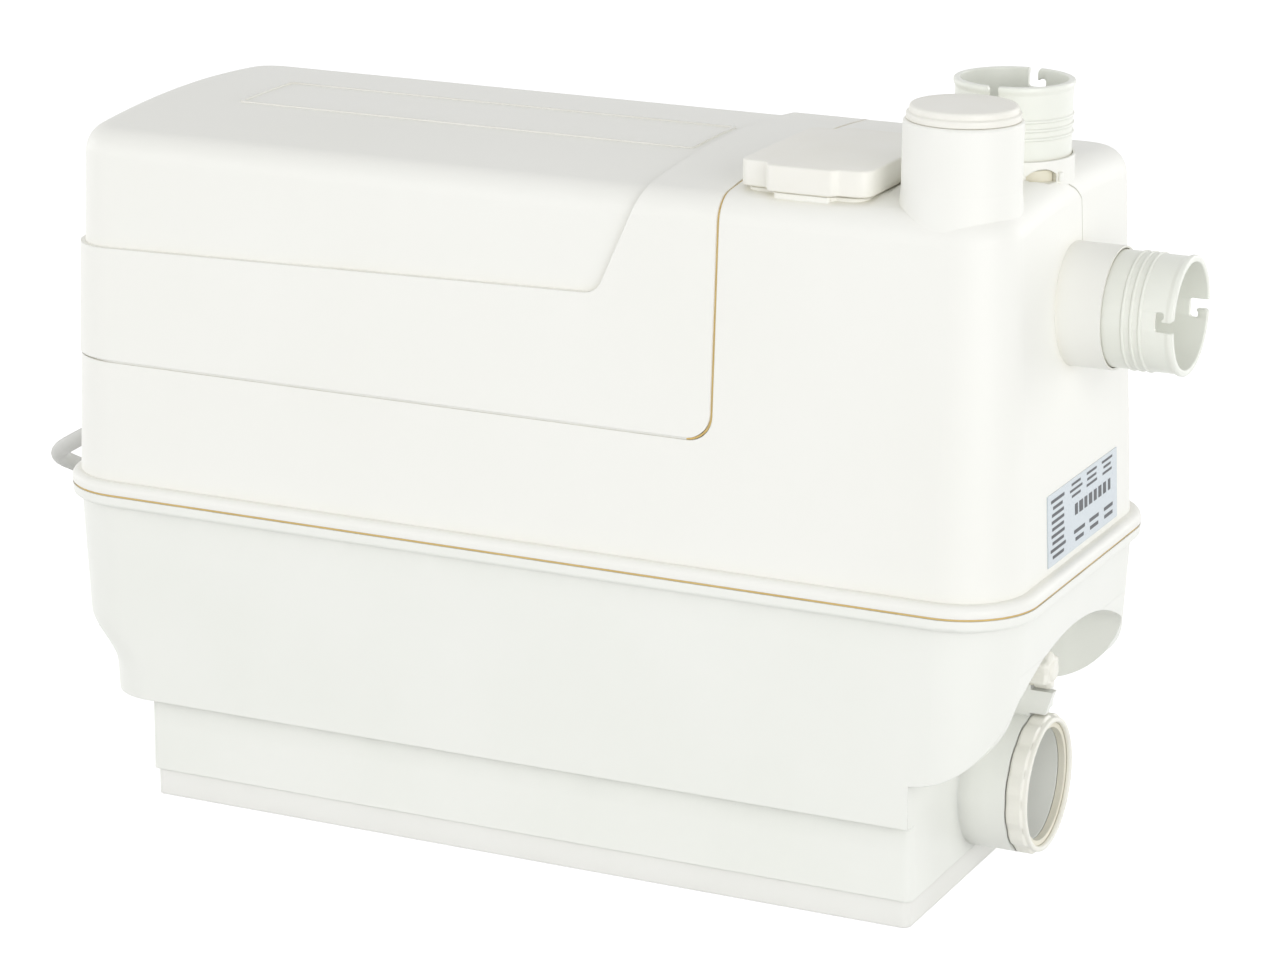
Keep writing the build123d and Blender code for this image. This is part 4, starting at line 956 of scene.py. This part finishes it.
        # Each field: its middle along and up, columns, rows, width and height between them, then
        # a bar's length and thickness, and the least share of that length
        layout = ((-25.5, 0.0, 1, 9, 0.01, 19.5, 15.0, 1.15, 0.45),
                  (9.0, 8.6, 3, 3, 32.0, 4.2, 12.5, 0.9, 0.4),
                  (10.0, 1.2, 8, 1, 34.0, 0.01, 3.8, 4.0, 0.5),
                  (11.0, -8.0, 3, 2, 30.0, 2.8, 11.0, 1.3, 0.5))
        fields = []
        for right, rise, columns, rows, wide, tall, length, thick, least in layout:
            corners = [(u * length / 2, v * thick / 2, self.bar_corner) for u, v in SQUARE]
            bar = prism("bar", rounded(corners, steps=2), 0.0, self.ink_thick)
            ruled_rows().run(bar, Palette.INK, Columns=columns, Rows=rows, Width=wide * MM,
                             Height=tall * MM, Least=least, Seed=self.bar_seed)
            shift = Matrix.Translation(middle + along * right + up * rise)
            fields.append(moved(moved(bar, face), shift))
        self.fit(joined("plate_fields", fields), "housing", Palette.INK, "plate_blue")

    def catch(self) -> None:
        """The small catch on the collar, beside its window."""
        near, far = self.catch_reach
        place = upright(self.catch_x) @ Matrix.Rotation(math.radians(self.catch_turn), 4, "Z")
        outline = rounded([(near, -0.9, 0.3), (far, -0.9, 0.5), (far, 0.9, 0.5), (near, 0.9, 0.3)], steps=3)
        tab = prism("collar_catch", outline, *self.catch_heights, place)
        self.fit(softened(tab, 0.3), "housing", Palette.COVER, "cover_white")


@dataclass
class MotorLid(Assembly):
    """The lift-off cover over the motor."""

    def build(self) -> None:
        """Dresses the cover."""
        self.dress(Palette.COVER, "motor_cover")


@dataclass
class Outlets(Assembly):
    """The two outlet sleeves with their ribs and bayonet slots, and the seals under them."""

    top_foot: Point = (153.5, 0.0, 259.0)
    side_foot: Point = (194.0, 0.0, 208.7)
    outer: float = 20.0
    bore: float = 18.25
    rim: float = 20.6
    length: float = 25.0
    seat: float = 1.5
    spigot: float = 3.5
    spigot_radius: float = 19.0
    throat: float = 16.0
    first_rib: float = 13.3
    rib_gap: float = 3.0
    rib_high: float = 0.5
    rib_half: float = 0.6
    ribs: int = 3
    slot_half: float = 1.75
    hook_low: float = 18.4
    hook_high: float = 21.6
    hook_end: float = 4.9
    detent: float = 2.9
    tool_past: float = 3.0
    turns: int = 128

    def build(self) -> None:
        """Makes both sleeves and dresses their seals."""
        self.sleeve("top_outlet_sleeve", upright(*self.top_foot), "top_sleeve")
        self.sleeve("side_outlet_sleeve", sideways(*self.side_foot), "side_sleeve")
        self.dress(Palette.SEAL, "top_seal", "side_seal")

    def slot_tool(self, side: int) -> Piece:
        """The shape of one bayonet slot.

        Args:
            side: -1 for the slot towards -Y, 1 for the other.

        Returns:
            The tool's object.
        """
        half, high, top, end = self.slot_half, self.hook_high, self.length, self.length + self.tool_past
        corners: list[Corner] = [
            (-half, end, 0), (-half, self.hook_low, 1.0), (self.hook_end, self.hook_low, 1.4),
            (self.hook_end, high, 1.4), (self.detent, high, 0.5), (self.detent - 0.4, high - 0.6, 0.3),
            (half, high - 0.6, 0.5), (half, top - 1.2, 0.6), (half + 1.0, top + 0.4, 0.4),
            (half + 1.0, end, 0)]
        outline = [(x * side, z) for x, z in rounded(corners)]
        return prism("slot", outline, self.bore - self.tool_past, self.rim + self.tool_past, standing(side))

    def sleeve(self, name: str, place: Matrix, node: str) -> None:
        """Makes one sleeve.

        Args:
            name: The piece's name.
            place: Where its shoulder sits and points.
            node: The CAD node that it stands for.
        """
        top, low, inner, outer = self.length, -self.seat, self.outer - 0.4, self.outer + self.rib_high
        body = lathe(name, [
            (self.throat, -self.spigot, 0.3), (self.spigot_radius, -self.spigot, 0.4),
            (self.spigot_radius, low, 0), (self.outer, low, 0.25), (self.outer, top - 2.9, 0.8),
            (self.rim, top - 1.6, 0.8), (self.rim, top, 0.9), (self.bore, top, 0.5),
            (self.bore, self.seat, 0.6), (self.throat, self.seat, 0.4)], turns=self.turns)
        cut_away(body, [self.slot_tool(1), self.slot_tool(-1)])
        softened(body, 0.28, angle=50)
        middle, half = self.first_rib, self.rib_half
        rib = lathe("rib", [(inner, middle - half, 0), (outer, middle - half * 0.75, 0.4),
                            (outer, middle + half * 0.75, 0.4), (inner, middle + half, 0)], turns=self.turns)
        along_the_axis().run(rib, Palette.SLEEVE, Count=self.ribs, Spacing=-self.rib_gap * MM)
        self.fit(moved(joined(name, [body, rib]), place), "housing", Palette.SLEEVE, "sleeve_grey", node)


@dataclass
class InletStopper(Assembly):
    """The push-in plug of the unused inlet."""

    x: float = 153.5
    y: float = -47.0
    radius: float = 18.0
    flange: float = 19.0
    top: float = 283.0
    rim: float = 278.1
    low: float = 262.3
    wall: float = 2.0

    def build(self) -> None:
        """Makes the plug."""
        inner = self.radius - self.wall
        plug = lathe("inlet_stopper", [
            (0, self.top, 0), (self.radius, self.top, 1.2), (self.radius, self.rim + 2.6, 0.3),
            (self.flange, self.rim + 2.2, 0.5), (self.flange, self.rim, 0.3), (self.radius, self.rim, 0.2),
            (self.radius, self.low, 0.7), (inner, self.low, 0.4), (inner, self.top - self.wall, 1.2),
            (0, self.top - self.wall, 0)], turns=128)
        whole = moved(plug, upright(self.x, self.y))
        self.fit(whole, "inlet_stopper", Palette.CAP, "cap_white", "inlet_plug")


@dataclass
class Inspection(Assembly):
    """The inspection cap on its raised neck."""

    middle: Flat = (103.0, -29.25)
    half_width: float = 23.5
    half_depth: float = 31.0
    tab_half: float = 11.6
    tab_reach: float = 35.2
    low: float = 251.0
    high: float = 260.0
    roof: float = 3.0
    skirt: Flat = (18.3, 25.8)
    skirt_corner: float = 3.0
    skirt_low: float = 242.0
    hollow: Flat = (0.86, 0.9)
    neck_set: float = 1.9
    neck_low: float = 243.0
    neck_gap: float = 0.65
    neck_way: Flat = (1.03, 1.02)

    def build(self) -> None:
        """Makes the cap and its neck and dresses the gasket."""
        place, inside = upright(*self.middle), self.box(self.hollow)
        cap = prism("plate", self.outline(0.0), self.low, self.high, place)
        cut_away(cap, [prism("pocket", inside, self.low - OVERCUT, self.high - self.roof, place)])
        softened(cap, 0.7, angle=60, segments=3)
        skirt = prism("skirt", self.box((1.0, 1.0)), self.skirt_low, self.low + 0.3, place)
        cut_away(skirt, [prism("hollow", inside, self.skirt_low - OVERCUT, self.low + OVERCUT, place)])
        softened(skirt, 0.4, angle=60)
        whole = joined("inspection_lid", [cap, skirt])
        self.fit(whole, "inspection_lid", Palette.CAP, "cap_white", "inspection_cap")
        self.dress(Palette.SEAL, "cap_gasket")
        neck = prism("inspection_neck", self.outline(self.neck_set), self.neck_low,
                     self.low - self.neck_gap, place)
        way = prism("way", self.box(self.neck_way), self.neck_low - OVERCUT, self.low + OVERCUT, place)
        cut_away(neck, [way])
        self.fit(softened(neck, 0.3, angle=60), "housing", Palette.COVER, "cover_white")

    def box(self, share: Flat) -> list[Flat]:
        """The skirt's outline, with its two sides scaled by share."""
        wide, deep = self.skirt[0] * share[0], self.skirt[1] * share[1]
        return rounded([(x * wide, y * deep, self.skirt_corner) for x, y in SQUARE])

    def outline(self, inset: float) -> list[Flat]:
        """The cap's outline, drawn in by inset.

        Args:
            inset: How far inside the edge it runs, mm.

        Returns:
            The outline's points.
        """
        wide, deep = self.half_width - inset, self.half_depth - inset
        reach, tab = self.tab_reach - inset, self.tab_half - inset
        front: list[Corner] = [(-wide, -deep + 0.6, 3.5), (-tab - 2.0, -deep, 1.0), (-tab, -reach, 2.0)]
        right: list[Corner] = [(tab - 0.8, -reach + 0.4, 3.0), (tab + 1.6, -reach + 2.6, 2.0),
                               (wide, -reach + 3.2, 9.5)]
        back = [(x, -y, radius) for x, y, radius in reversed(front + right)]
        return rounded([*front, (0.0, -reach - 0.04, 20), *right, *back])


@dataclass
class LowInlet(Assembly):
    """The union nut of the low inlet and its seal."""

    x: float = 168.0
    z: float = 35.0
    radius: float = 25.0
    thread: float = 22.3
    lip: float = 22.0
    lip_thick: float = 1.6
    length: float = 7.4
    step: float = 1.1
    flutes: int = 14
    flute_depth: float = 0.9

    def build(self) -> None:
        """Makes the nut and dresses the seal."""
        end, narrow, inside = self.length, self.radius - self.step, self.length - self.lip_thick
        nut = lathe("union_nut", [
            (self.thread, 0, 0.2), (self.radius - 0.5, 0, 0.4), (self.radius, 0.7, 0.4),
            (self.radius, end - 2.0, 0.5), (narrow, end - 1.5, 0.3), (narrow, end, 0.9),
            (self.lip, end, 1.2), (self.lip, inside, 0.3), (self.thread, inside, 0.2)],
            turns=self.flutes * 14)
        grip_flutes().run(nut, Palette.NUT, Count=self.flutes, Sharpness=1.6, Depth=self.flute_depth * MM,
                          From_Radius=(self.radius - 0.9) * MM)
        self.fit(moved(nut, sideways(self.x, 0, self.z)), "nut", Palette.NUT, "cap_white", "low_inlet_nut")
        self.dress(Palette.SEAL, "low_inlet_seal")


@dataclass
class Drain(Assembly):
    """The lobed drain cap and its washer."""

    x: float = 168.6
    z: float = 77.0
    radius: float = 7.0
    bore: float = 4.5
    bore_depth: float = 3.9
    length: float = 7.4
    lobes: int = 6
    lobe_depth: float = 1.5
    lobe_foot: float = 4.9

    def build(self) -> None:
        """Makes the cap and dresses the washer."""
        end, depth = self.length, self.bore_depth
        knob = lathe("drain_knob", [
            (0, end, 0), (3.2, end, 0.5), (4.0, end - 0.9, 0.5), (6.0, end - 0.9, 0.9),
            (self.radius, end - 2.2, 0.8), (self.radius, 0, 0.5), (self.bore, 0, 0.2),
            (self.bore, depth, 0.3), (0, depth, 0)], turns=self.lobes * 16)
        grip_flutes().run(knob, Palette.NUT, Count=self.lobes, Sharpness=0.8, Depth=self.lobe_depth * MM,
                          From_Radius=self.lobe_foot * MM)
        self.fit(moved(knob, sideways(self.x, 0, self.z)), "drain", Palette.NUT, "cap_white", "drain_cap")
        self.dress(Palette.SEAL, "drain_washer")


@dataclass(frozen=True)
class Wheel:
    """One bladed wheel on the shaft, in mm.

    Attributes:
        name: The piece's name.
        node: The CAD node that it stands for.
        radius: Outer radius.
        low: Height of its underside.
        plate: Thickness of the back plate.
        thick: Whole height.
        hub: Radius of the hub.
        blade: Thickness of a blade.
        count: Number of blades.
    """

    name: str
    node: str
    radius: float
    low: float
    plate: float
    thick: float
    hub: float
    blade: float
    count: int


@dataclass
class MotorPump(Assembly):
    """The motor on the deck, its rotor, and the pump that hangs under it."""

    x: float = -60.0
    deck: float = 123.0
    radius: float = 41.0
    wall: float = 3.0
    floor: float = 13.0
    eye: float = 15.05
    foot: float = 51.5
    foot_thick: float = 4.0
    top: float = 205.0
    fins: int = 24
    fin_out: float = 2.0
    fin_in: float = -1.2
    fin_half: float = 0.95
    fin_sunk: float = 0.5
    fin_short: float = 3.0
    screw_circle: float = 46.8
    screw_low: float = 120.0
    screws: int = 4
    screw_radius: float = 2.0
    head_radius: float = 3.5
    head: float = 3.0
    socket_radius: float = 1.7
    socket_floor: float = 1.2
    shaft: float = 6.0
    blade_sunk: float = 0.6
    blade_sweep: float = 1.2
    blade_short: float = 0.4
    wheels: tuple[Wheel, Wheel] = (
        Wheel("cooling_wheel", "cooling_fan", 31.0, 213.0, 1.5, 7.0, 11.0, 1.6, 9),
        Wheel("pump_wheel", "impeller", 28.0, 31.0, 3.0, 14.0, 10.0, 2.2, 7))

    def build(self) -> None:
        """Makes the motor's finned housing and turning parts and dresses the rest."""
        self.housing()
        self.fasteners()
        for wheel in self.wheels:
            self.wheel(wheel)
        self.dress(Palette.MOTOR, "motor_end_shield")
        self.dress(Palette.CORE, "stator", "rotor_core")
        self.dress(Palette.BEARING, "shaft", "bearings")
        self.dress(Palette.RUBBER, "shaft_seal")
        self.dress(Palette.PUMP, "pump_casing", "pump_column")

    def housing(self) -> None:
        """The cast housing with its cooling fins."""
        base, floor, inner = self.deck + self.foot_thick, self.deck + self.floor, self.radius - self.wall
        shell = lathe("shell", [
            (self.eye, self.deck, 0.2), (self.foot, self.deck, 0.3), (self.foot, base, 1.2),
            (self.radius, base, 1.5), (self.radius, self.top, 0.4), (inner, self.top, 0.4),
            (inner, floor, 2.0), (self.eye, floor, 0.4)])
        low, high = base - self.fin_sunk, self.top - self.fin_short
        outline = rounded([(self.fin_in, low, 0), (self.fin_out, low, 0.3), (self.fin_out, high, 2.0),
                           (self.fin_in, high, 0)], steps=3)
        fin = softened(prism("fin", outline, -self.fin_half, self.fin_half, standing()), 0.3)
        round_the_axis().run(fin, Palette.MOTOR, Count=self.fins, Radius=self.radius * MM)
        whole = moved(joined("motor_frame", [shell, fin]), upright(self.x))
        self.fit(whole, "housing", Palette.MOTOR, "motor_metal", "motor_housing")

    def fasteners(self) -> None:
        """The four screws that hold the motor to the deck, each with a socket."""
        low, base = self.screw_low, self.deck + self.foot_thick
        top, floor = base + self.head, base + self.socket_floor
        screw = lathe("screw", [
            (0, low, 0), (self.screw_radius, low, 0.3), (self.screw_radius, base, 0.1),
            (self.head_radius, base, 0.2), (self.head_radius, top, 0.4), (self.socket_radius, top, 0.1),
            (self.socket_radius, floor, 0), (0, floor, 0)], turns=36)
        round_the_axis().run(screw, Palette.SCREW, Count=self.screws, Radius=self.screw_circle * MM,
                             Start=math.radians(45))
        self.fit(moved(screw, upright(self.x)), "housing", Palette.SCREW, "screw_steel", "motor_screws")

    def wheel(self, wheel: Wheel) -> None:
        """Makes one bladed wheel.

        Args:
            wheel: Its sizes.
        """
        hub, low, plate, high = wheel.hub, wheel.low, wheel.low + wheel.plate, wheel.low + wheel.thick
        disc = lathe(wheel.name, [
            (self.shaft, low, 0.2), (wheel.radius, low, 0.3), (wheel.radius, plate, 0.3), (hub, plate, 0.8),
            (hub, high, 0.8), (self.shaft, high, 0.3)])
        reach, half, sweep = (wheel.radius - hub) / 2, wheel.blade / 2, self.blade_sweep
        root, tip, bend = -reach - self.blade_sunk, reach - self.blade_short, wheel.blade / 2.2
        outline = rounded([(root, -half, 0), (tip, -half - sweep, bend), (tip, half - sweep, bend),
                           (root, half, 0)], steps=3)
        vane = softened(prism("vane", outline, plate - 0.2, high - self.blade_short), 0.25)
        round_the_axis().run(vane, Palette.PUMP, Count=wheel.count, Radius=(wheel.radius + hub) / 2 * MM)
        whole = moved(joined(wheel.name, [disc, vane]), upright(self.x))
        self.fit(whole, "rotor", Palette.PUMP, "pump_grey", wheel.node)


@dataclass
class Discharge(Assembly):
    """The pipework from the pump to the outlets, with its non-return valve."""

    def build(self) -> None:
        """Dresses the pipework."""
        self.dress(Palette.PIPE, "discharge_pipe", "valve_body", "outlet_tee")
        self.dress(Palette.RUBBER, "valve_flap")
        self.dress(Palette.SCREW, "flap_pin")


@dataclass
class Controls(Assembly):
    """The control box, the capacitor, the level switch and the air filter."""

    def build(self) -> None:
        """Dresses the controls."""
        self.dress(Palette.BOX, "control_box", "level_switch", "carbon_filter")
        self.dress(Palette.CAN, "capacitor")
        self.dress(Palette.PIPE, "level_bell")


@dataclass
class MainsLead(Assembly):
    """The gland, the lead that is put away behind the station, and its plug."""

    diameter: float = 6.4
    length: float = 1200.5
    tilt: float = 30.0
    wall_x: float = -183.0706
    gland_z: float = 133.0
    shank: float = 5.5
    boss: float = 8.2
    boss_length: float = 5.2
    collar: float = 4.0
    relief: float = 19.0
    relief_end: float = 3.75
    shank_inside: float = 10.0
    collar_flutes: int = 12
    relief_ribs: int = 6
    relief_pitch: float = 2.4
    relief_taper: float = -0.046
    coil_radius: float = 42.1
    coil_pitch: float = 8.2
    coil_middle: Flat = (-55.6, 147.9)
    coil_turns: int = 4
    steps: int = 12
    plug_face: Point = (-114.0, 105.8, 18.5)
    pin_reach: float = 9.5
    free_run: tuple[Point, ...] = (
        (0.0, 0.0, 0.0), (-14.8, 0.0, -8.55), (-28.1, 7.1, -16.2), (-36.8, 19.9, -23.4),
        (-38.9, 37.0, -31.4), (-35.0, 58.7, -43.2), (-26.7, 84.2, -60.6), (-15.2, 112.7, -82.0))
    floor_run: tuple[Point, ...] = (
        (-206.5, 142.5, 17.5), (-184.0, 166.5, 7.0), (-154.0, 181.5, 4.0), (-122.0, 188.2, 3.2),
        (-92.0, 190.0, 3.2), (-62.0, 190.0, 3.2))
    tail_run: tuple[Point, ...] = (
        (-62.0, 105.8, 11.4), (-76.0, 105.8, 11.4), (-100.0, 105.8, 18.5), (-114.0, 105.8, 18.5))

    def build(self) -> None:
        """Makes the gland, the plug and the lead between them."""
        self.gland()
        self.lead(self.plug())

    def gland_place(self) -> Matrix:
        """Finds the gland's place.

        Returns:
            Where its own Z axis starts and points.
        """
        lean = math.radians(self.tilt)
        out = Vector((-math.cos(lean), 0, -math.sin(lean)))
        across = Vector((0, 1, 0))
        return upright(self.wall_x, 0, self.gland_z) @ facing(across, out.cross(across), out)

    def gland(self) -> None:
        """The gland with its fluted collar and ribbed strain relief."""
        start, end = self.boss_length, self.boss_length + self.collar
        tip = end + self.relief
        body = lathe("gland", [
            (0, -self.shank_inside, 0), (self.shank, -self.shank_inside, 0.4), (self.shank, start, 0),
            (self.boss, start, 0.4), (self.boss, end, 0.9), (self.shank, end, 0.5),
            (self.relief_end, tip, 0.4), (0, tip, 0)], turns=self.collar_flutes * 7)
        grip_flutes().run(body, Palette.CORD, Count=self.collar_flutes, Depth=0.5 * MM,
                          From_Radius=(self.boss - 1.0) * MM, Sharpness=1.2)
        rib = lathe("relief_rib", [(3.4, end + 2.4, 0), (5.35, end + 2.5, 0.4), (5.3, end + 3.7, 0.4),
                                   (3.4, end + 3.8, 0)], turns=48, steps=3)
        along_the_axis().run(rib, Palette.CORD, Count=self.relief_ribs, Spacing=self.relief_pitch * MM,
                             Taper=self.relief_taper)
        whole = moved(joined("strain_relief", [body, rib]), self.gland_place())
        self.fit(whole, "housing", Palette.CORD, "cord_grey", "cable_gland")

    def plug(self) -> Piece:
        """The moulded plug with its two pins.

        Returns:
            The plug's object.
        """
        grip = lathe("moulded_plug", [
            (0, 0, 0), (4.2, 0, 0.6), (5.0, 5, 0), (10.5, 15, 3), (16.5, 17.2, 3), (18.4, 22, 3),
            (18.4, 47.5, 0.8), (17.2, 48.2, 0.4), (17.2, 50, 0.8), (0, 50, 0)])
        grip_flutes().run(grip, Palette.PLUG, Count=2, Depth=2.2 * MM, From_Radius=16.9 * MM, Sharpness=3.0)
        pins = [moved(lathe("pin", [(0, 49, 0), (2.4, 49, 0), (2.4, 69, 1.6), (0, 69, 0)], turns=32),
                      upright(x)) for x in (-self.pin_reach, self.pin_reach)]
        turn = Matrix(((0, 0, -1), (1, 0, 0), (0, -1, 0))).to_4x4()
        place = upright(*self.plug_face) @ turn
        contact = moved(joined("plug_pins", pins), place)
        self.fit(contact, "housing", Palette.BEARING, "bearing_steel")
        made = self.fit(moved(grip, place), "housing", Palette.PLUG, "plug_grey", "mains_plug")
        contact.parent = made
        contact.matrix_parent_inverse = made.matrix_world.inverted()
        return made

    def coil(self) -> list[Vector]:
        """Winds the coil in, up a layer and out again.

        Returns:
            The points along it.
        """
        drops = [i * self.coil_pitch / 2 for i in range(self.coil_turns)]
        low, (x, y) = self.diameter / 2, self.coil_middle
        stops = [(drop, low) for drop in drops] + [(drop, low + self.coil_pitch) for drop in drops[::-1]]
        ends = [Vector((x, y + (-1) ** i * (self.coil_radius - drop), z))
                for i, (drop, z) in enumerate(stops)]
        points = []
        for i, (near, far) in enumerate(zip(ends, ends[1:])):
            middle, reach = (near + far) / 2, (-1) ** i * (near - far).length / 2
            for k in range(self.steps):
                angle = math.pi * k / self.steps
                swing = Vector((reach * math.sin(angle), 0, 0))
                points.append(middle + (near - middle) * math.cos(angle) + swing)
        return [*points, ends[-1]]

    def lead(self, plug: Piece) -> None:
        """The lead as one smooth line from the gland to the plug.

        Args:
            plug: The plug on its end; not used.
        """
        start = self.gland_place() @ Vector((0, 0, self.boss_length + self.collar + self.relief))
        route = [start + Vector(step) for step in self.free_run] + [Vector(p) for p in self.floor_run]
        route += self.coil() + [Vector(p) for p in self.tail_run]
        curve = bpy.data.curves.new("mains_lead", "CURVE")
        curve.dimensions = "3D"
        line = curve.splines.new("NURBS")
        line.points.add(len(route) - 1)
        for point, place in zip(line.points, route):
            point.co = (*(place * MM), 1.0)
        line.order_u, line.resolution_u, line.use_endpoint_u = 3, 6, True
        curve.bevel_depth = self.diameter / 2 * MM
        curve.bevel_resolution, curve.use_fill_caps = 5, True
        made = in_scene("mains_lead", curve)
        curve.materials.append(Palette.CORD.material())
        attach(made, "housing")
        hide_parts("mains_cord", "cord_coil", "cord_tail")
        LOG.info("fitted mains_lead, %d points", len(route))


# ---------------------------------------------------------------- studio

AIM_HEIGHT = 0.12
WHITE = (1.0, 1.0, 1.0, 1.0)


def towards(azimuth: float, elevation: float) -> Vector:
    """The direction out from the station, from angles in degrees; azimuth 0 is its front."""
    turn, lift = math.radians(azimuth), math.radians(elevation)
    return Vector((math.sin(turn) * math.cos(lift), -math.cos(turn) * math.cos(lift), math.sin(lift)))


@dataclass(frozen=True)
class Lamp:
    """One soft square lamp that faces the station.

    Attributes:
        name: The lamp's name.
        azimuth: Where it stands, in the camera's sense, degrees.
        elevation: How high it stands, degrees.
        distance: How far away it stands, m.
        size: Side of its square face, m.
        level: Light on a surface that faces it, where 1 shows a colour as written.
    """

    name: str
    azimuth: float
    elevation: float
    distance: float
    size: float
    level: float

    def build(self) -> None:
        """Adds the lamp."""
        data = bpy.data.lights.new(self.name, "AREA")
        data.shape, data.size = "SQUARE", self.size
        data.energy = self.level * math.pi ** 2 * self.distance ** 2
        back = towards(self.azimuth, self.elevation)
        made = in_scene(self.name, data)
        made.location = back * self.distance + Vector((0, 0, AIM_HEIGHT))
        made.rotation_mode = "QUATERNION"
        made.rotation_quaternion = (-back).to_track_quat("-Z", "Y")


@dataclass
class Studio:
    """The pale floor, the soft lamps and the camera."""

    azimuth: float = 25.07
    elevation: float = 16.15
    roll: float = 0.53
    distance: float = 1505.2
    focal_pixels: float = 4186.5
    frame_width: float = 1284.0
    sensor: float = 36.0
    target: Point = (16.77, 0.0, 124.24)
    ambient: float = 0.6
    floor_half: float = 8.0
    floor_drop: float = 0.0002
    floor_grey: float = 0.8
    floor_glow: float = 0.62
    lamps: tuple[Lamp, ...] = (
        Lamp("left_softbox", -40, 10, 2.2, 1.5, 0.26), Lamp("right_softbox", 55, 10, 2.2, 1.5, 0.43),
        Lamp("back_left_softbox", 268, 8, 2.4, 1.2, 0.16), Lamp("back_right_softbox", 146, 8, 2.4, 1.2, 0.16))

    def build(self) -> None:
        """Sets up the studio."""
        self.camera()
        self.floor()
        self.world()
        for lamp in self.lamps:
            lamp.build()
        bpy.context.scene.view_settings.view_transform = "Standard"

    def camera(self) -> None:
        """Places the camera where the photograph was taken from."""
        back = towards(self.azimuth, self.elevation)
        right = (-back).cross(Vector((0, 0, 1))).normalized()
        up = right.cross(-back)
        lean = math.radians(self.roll)
        across = right * math.cos(lean) + up * math.sin(lean)
        over = up * math.cos(lean) - right * math.sin(lean)
        data = bpy.data.cameras.new("photo_camera")
        data.sensor_width = self.sensor
        data.lens = self.sensor * self.focal_pixels / self.frame_width
        data.clip_start, data.clip_end = 0.05, 50.0
        made = in_scene("photo_camera", data)
        matrix = facing(across, over, back)
        matrix.translation = (Vector(self.target) + back * self.distance) * MM
        made.matrix_world = matrix
        bpy.context.scene.camera = made

    @staticmethod
    def seen(graph: Graph) -> Socket:
        """Tells the rays that look from the rays that light.

        Args:
            graph: The graph that asks.

        Returns:
            One for a camera, glossy or transmission ray, else zero.
        """
        path = graph.add("ShaderNodeLightPath").outputs
        either = graph.maths("MAXIMUM", path["Is Camera Ray"], path["Is Glossy Ray"])
        return graph.maths("MAXIMUM", either, path["Is Transmission Ray"])

    def floor(self) -> None:
        """The floor: white to the eye, but it keeps the station's shadow."""
        mesh = bpy.data.meshes.new("floor")
        ends = [(x * self.floor_half, y * self.floor_half, -self.floor_drop) for x, y in SQUARE]
        mesh.from_pydata(ends, [], [(0, 1, 2, 3)])
        made = in_scene("floor", mesh)
        material = bpy.data.materials.new("floor_white")
        graph = Graph.of(material)
        matt = graph.add("ShaderNodeBsdfDiffuse", {"Color": (*[self.floor_grey] * 3, 1.0)})
        strength = graph.product(self.seen(graph), self.floor_glow)
        glow = graph.add("ShaderNodeEmission", {"Color": WHITE, "Strength": strength})
        both = graph.add("ShaderNodeAddShader", {0: matt.outputs[0], 1: glow.outputs[0]})
        graph.end("ShaderNodeOutputMaterial", both.outputs[0])
        mesh.materials.append(material)

    def world(self) -> None:
        """Even light from all round, white where it is looked at."""
        world = bpy.data.worlds.new("soft_room")
        bpy.context.scene.world = world
        graph = Graph.of(world)
        strength = graph.maths("MULTIPLY_ADD", self.seen(graph), 1.0 - self.ambient, self.ambient)
        light = graph.add("ShaderNodeBackground", {"Color": WHITE, "Strength": strength})
        graph.end("ShaderNodeOutputWorld", light.outputs[0])


def main() -> None:
    """Builds the studio and every sub-assembly."""
    logging.basicConfig(level=logging.INFO, format="%(name)s: %(message)s")
    Studio().build()
    for kind in (MainsLead, Shell, MotorLid, Outlets, InletStopper, Inspection, LowInlet, Drain, MotorPump,
                 Discharge, Controls):
        kind().build()
        LOG.info("built %s", kind.__name__)


if __name__ == "__main__":
    main()
